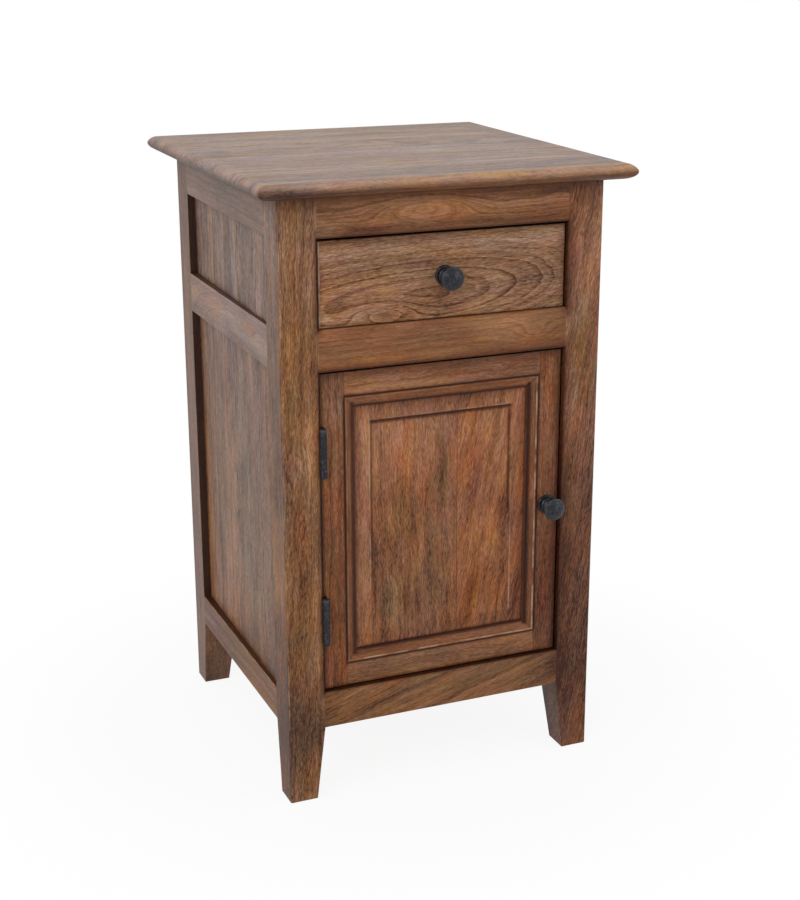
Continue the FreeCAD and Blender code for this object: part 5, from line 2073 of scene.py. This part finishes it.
def gathered_glaze_and_shade() -> GlazeAndShade:
    """The dark stain and painted shade of the whole cabinet: openings, joints of the door, recesses, under the
    top and its nose.
    """
    glaze_and_shade = GlazeAndShade()
    post = box("post_front_left")
    face, inner = post[0][1], abs(post[1][0])
    drawer = (box("front_middle_rail")[1][2], box("front_top_rail")[0][2])
    door = (box("front_bottom_rail")[1][2], box("front_middle_rail")[0][2])
    # Round the drawer and door openings: glaze and painted shade in the gaps, on the opening walls and in soft
    # bands on the posts and rails beside them.
    for (low, high), foot in ((drawer, 0.15), (door, 0.55)):
        corners = ((-inner, low), (inner, high))
        glaze_and_shade.outline(
            Axis.Y, face, *corners, (1.5, 0.9, "l"), (4.5, 0.26, "l"), (2.6, 0.5, "t"), (1.4, 0.5 * foot, "b"),
            (3.0, 0.42, "r"), (9.0, 0.2, "rt"),
        )
        shades = {"l": (1.1, 1.1), "r": (0.4, 0.4), "t": (1.1, 1.1), "b": (foot, foot)}
        glaze_and_shade.walls(Axis.Y, (face + 0.4, face + 36.0), *corners, shades)
    # The drawer front: darker along its top and round its ends in the gap, painted shade with some glaze.
    low, high = box("drawer_front")
    corners = (low[[0, 2]], high[[0, 2]])
    glaze_and_shade.outline(Axis.Y, low[1], *corners, (7.5, 0.17, "t"), (1.2, 0.24, "t"), (1.4, 0.08, "b"))
    glaze_and_shade.rectangle(Axis.Y, low[1] + Drawer.lap, *corners, 4.5, 0.4)
    # Round the door, in the hollow of the moulding and under the step down to the sunk field: glaze and
    # painted shade.
    hinge_side, latch_side = box("door_stile_hinge_side"), box("door_stile_latch_side")
    front = hinge_side[0][1]
    glaze_and_shade.outline(Axis.Y, front, hinge_side[0][[0, 2]], latch_side[1][[0, 2]], (2.4, 0.26), (6.0, 0.24, "rt"))
    left, right = hinge_side[1][0], latch_side[0][0]
    bottom, top = box("door_bottom_rail")[1][2], box("door_top_rail")[0][2]
    sunk, field = 30.6, front + 6.0
    lines = (
        (-0.7, front, 1.1, 0.7, "lrbt"), (9.3, front + 4.2, 2.8, 0.62, "l"), (9.3, front + 4.2, 2.5, 0.9, "r"),
        (11.2, front + 4.6, 1.6, 0.9, "bt"), (sunk, field, 2.0, 0.6, "t"), (sunk, field, 1.2, 0.2, "l"),
        (12.5, front + 5.0, 5.5, 0.12, "lrt"),
    )
    for inset, level, *row in lines:
        glaze_and_shade.outline(Axis.Y, level, (left + inset, bottom + inset), (right - inset, top - inset), row)
    glaze_and_shade.line((right - sunk, field, (bottom + top) / 2), (right - sunk, field, top - sunk), 1.4, 0.4)
    # The recesses of the side panels: glaze and painted shade along their edges and on their walls, darkest on
    # the wall under the rail above.
    for side in (-1, 1):
        plane = side * (abs(box("side_lower_panel_left")[0][0]) + Carcass.panel_rise)
        edge = side * (abs(face) - 0.8)
        for below, above in (("bottom", "middle"), ("middle", "top")):
            sill, lintel = box(f"side_{below}_rail_left")[1][2], box(f"side_{above}_rail_left")[0][2]
            corners = ((-inner, sill), (inner, lintel))
            glaze_and_shade.outline(Axis.X, plane, *corners, (2.0, 0.35, "rt"), (8.0, 0.08, "rt"))
            shades = {"l": (0.5, 0.5), "r": (0.5, 0.5), "t": (1.1, 1.1), "b": (0.25, 0.35)}
            glaze_and_shade.walls(Axis.X, (plane, edge), *corners, shades)
    # Under the top: painted shade of the nose on the rails and posts below it, and on the nose's own
    # underside.
    under = box("top_panel")[0][2]
    glaze_and_shade.outline(Axis.Z, under, (face, face), (-face, -face), (12.0, 0.2), (4.0, 0.32))
    nose = abs(box("top_panel")[0][0])
    for inset, rise, reach, strength in ((2.0, 5.2, 4.2, 0.42), (8.0, 1.6, 6.0, 0.55)):
        at = nose - inset
        glaze_and_shade.rectangle(Axis.Z, under + rise, (-at, -at), (at, at), reach, strength)
    return glaze_and_shade


def main() -> None:
    """Build the finish piece by piece."""
    logging.basicConfig(level=logging.INFO, format="%(message)s")
    figure_group()
    shop = Workshop(gathered_glaze_and_shade())
    iron = Iron("black_iron", roughness=0.33, wear=0.34).material()
    hinge = Iron("hinge_iron", roughness=0.46, wear=0.35).material()
    steel = Iron("screw_steel", (150, 150, 152), (196, 196, 198), (120, 104, 90), 0.32, 0.6).material()
    plastic = Iron("catch_plastic", (92, 70, 52), (104, 82, 62), (84, 64, 48), 0.5, 0.3).material()
    Carcass(shop).build()
    Drawer(shop).build()
    Door(shop).build()
    Knob(shop, iron).build("drawer_knob", "drawer")
    Knob(shop, iron).build("door_knob", "door")
    Hinges(shop, hinge, steel).build()
    Inside(shop).build(steel, plastic)
    Studio().build()


if __name__ == "__main__":
    main()
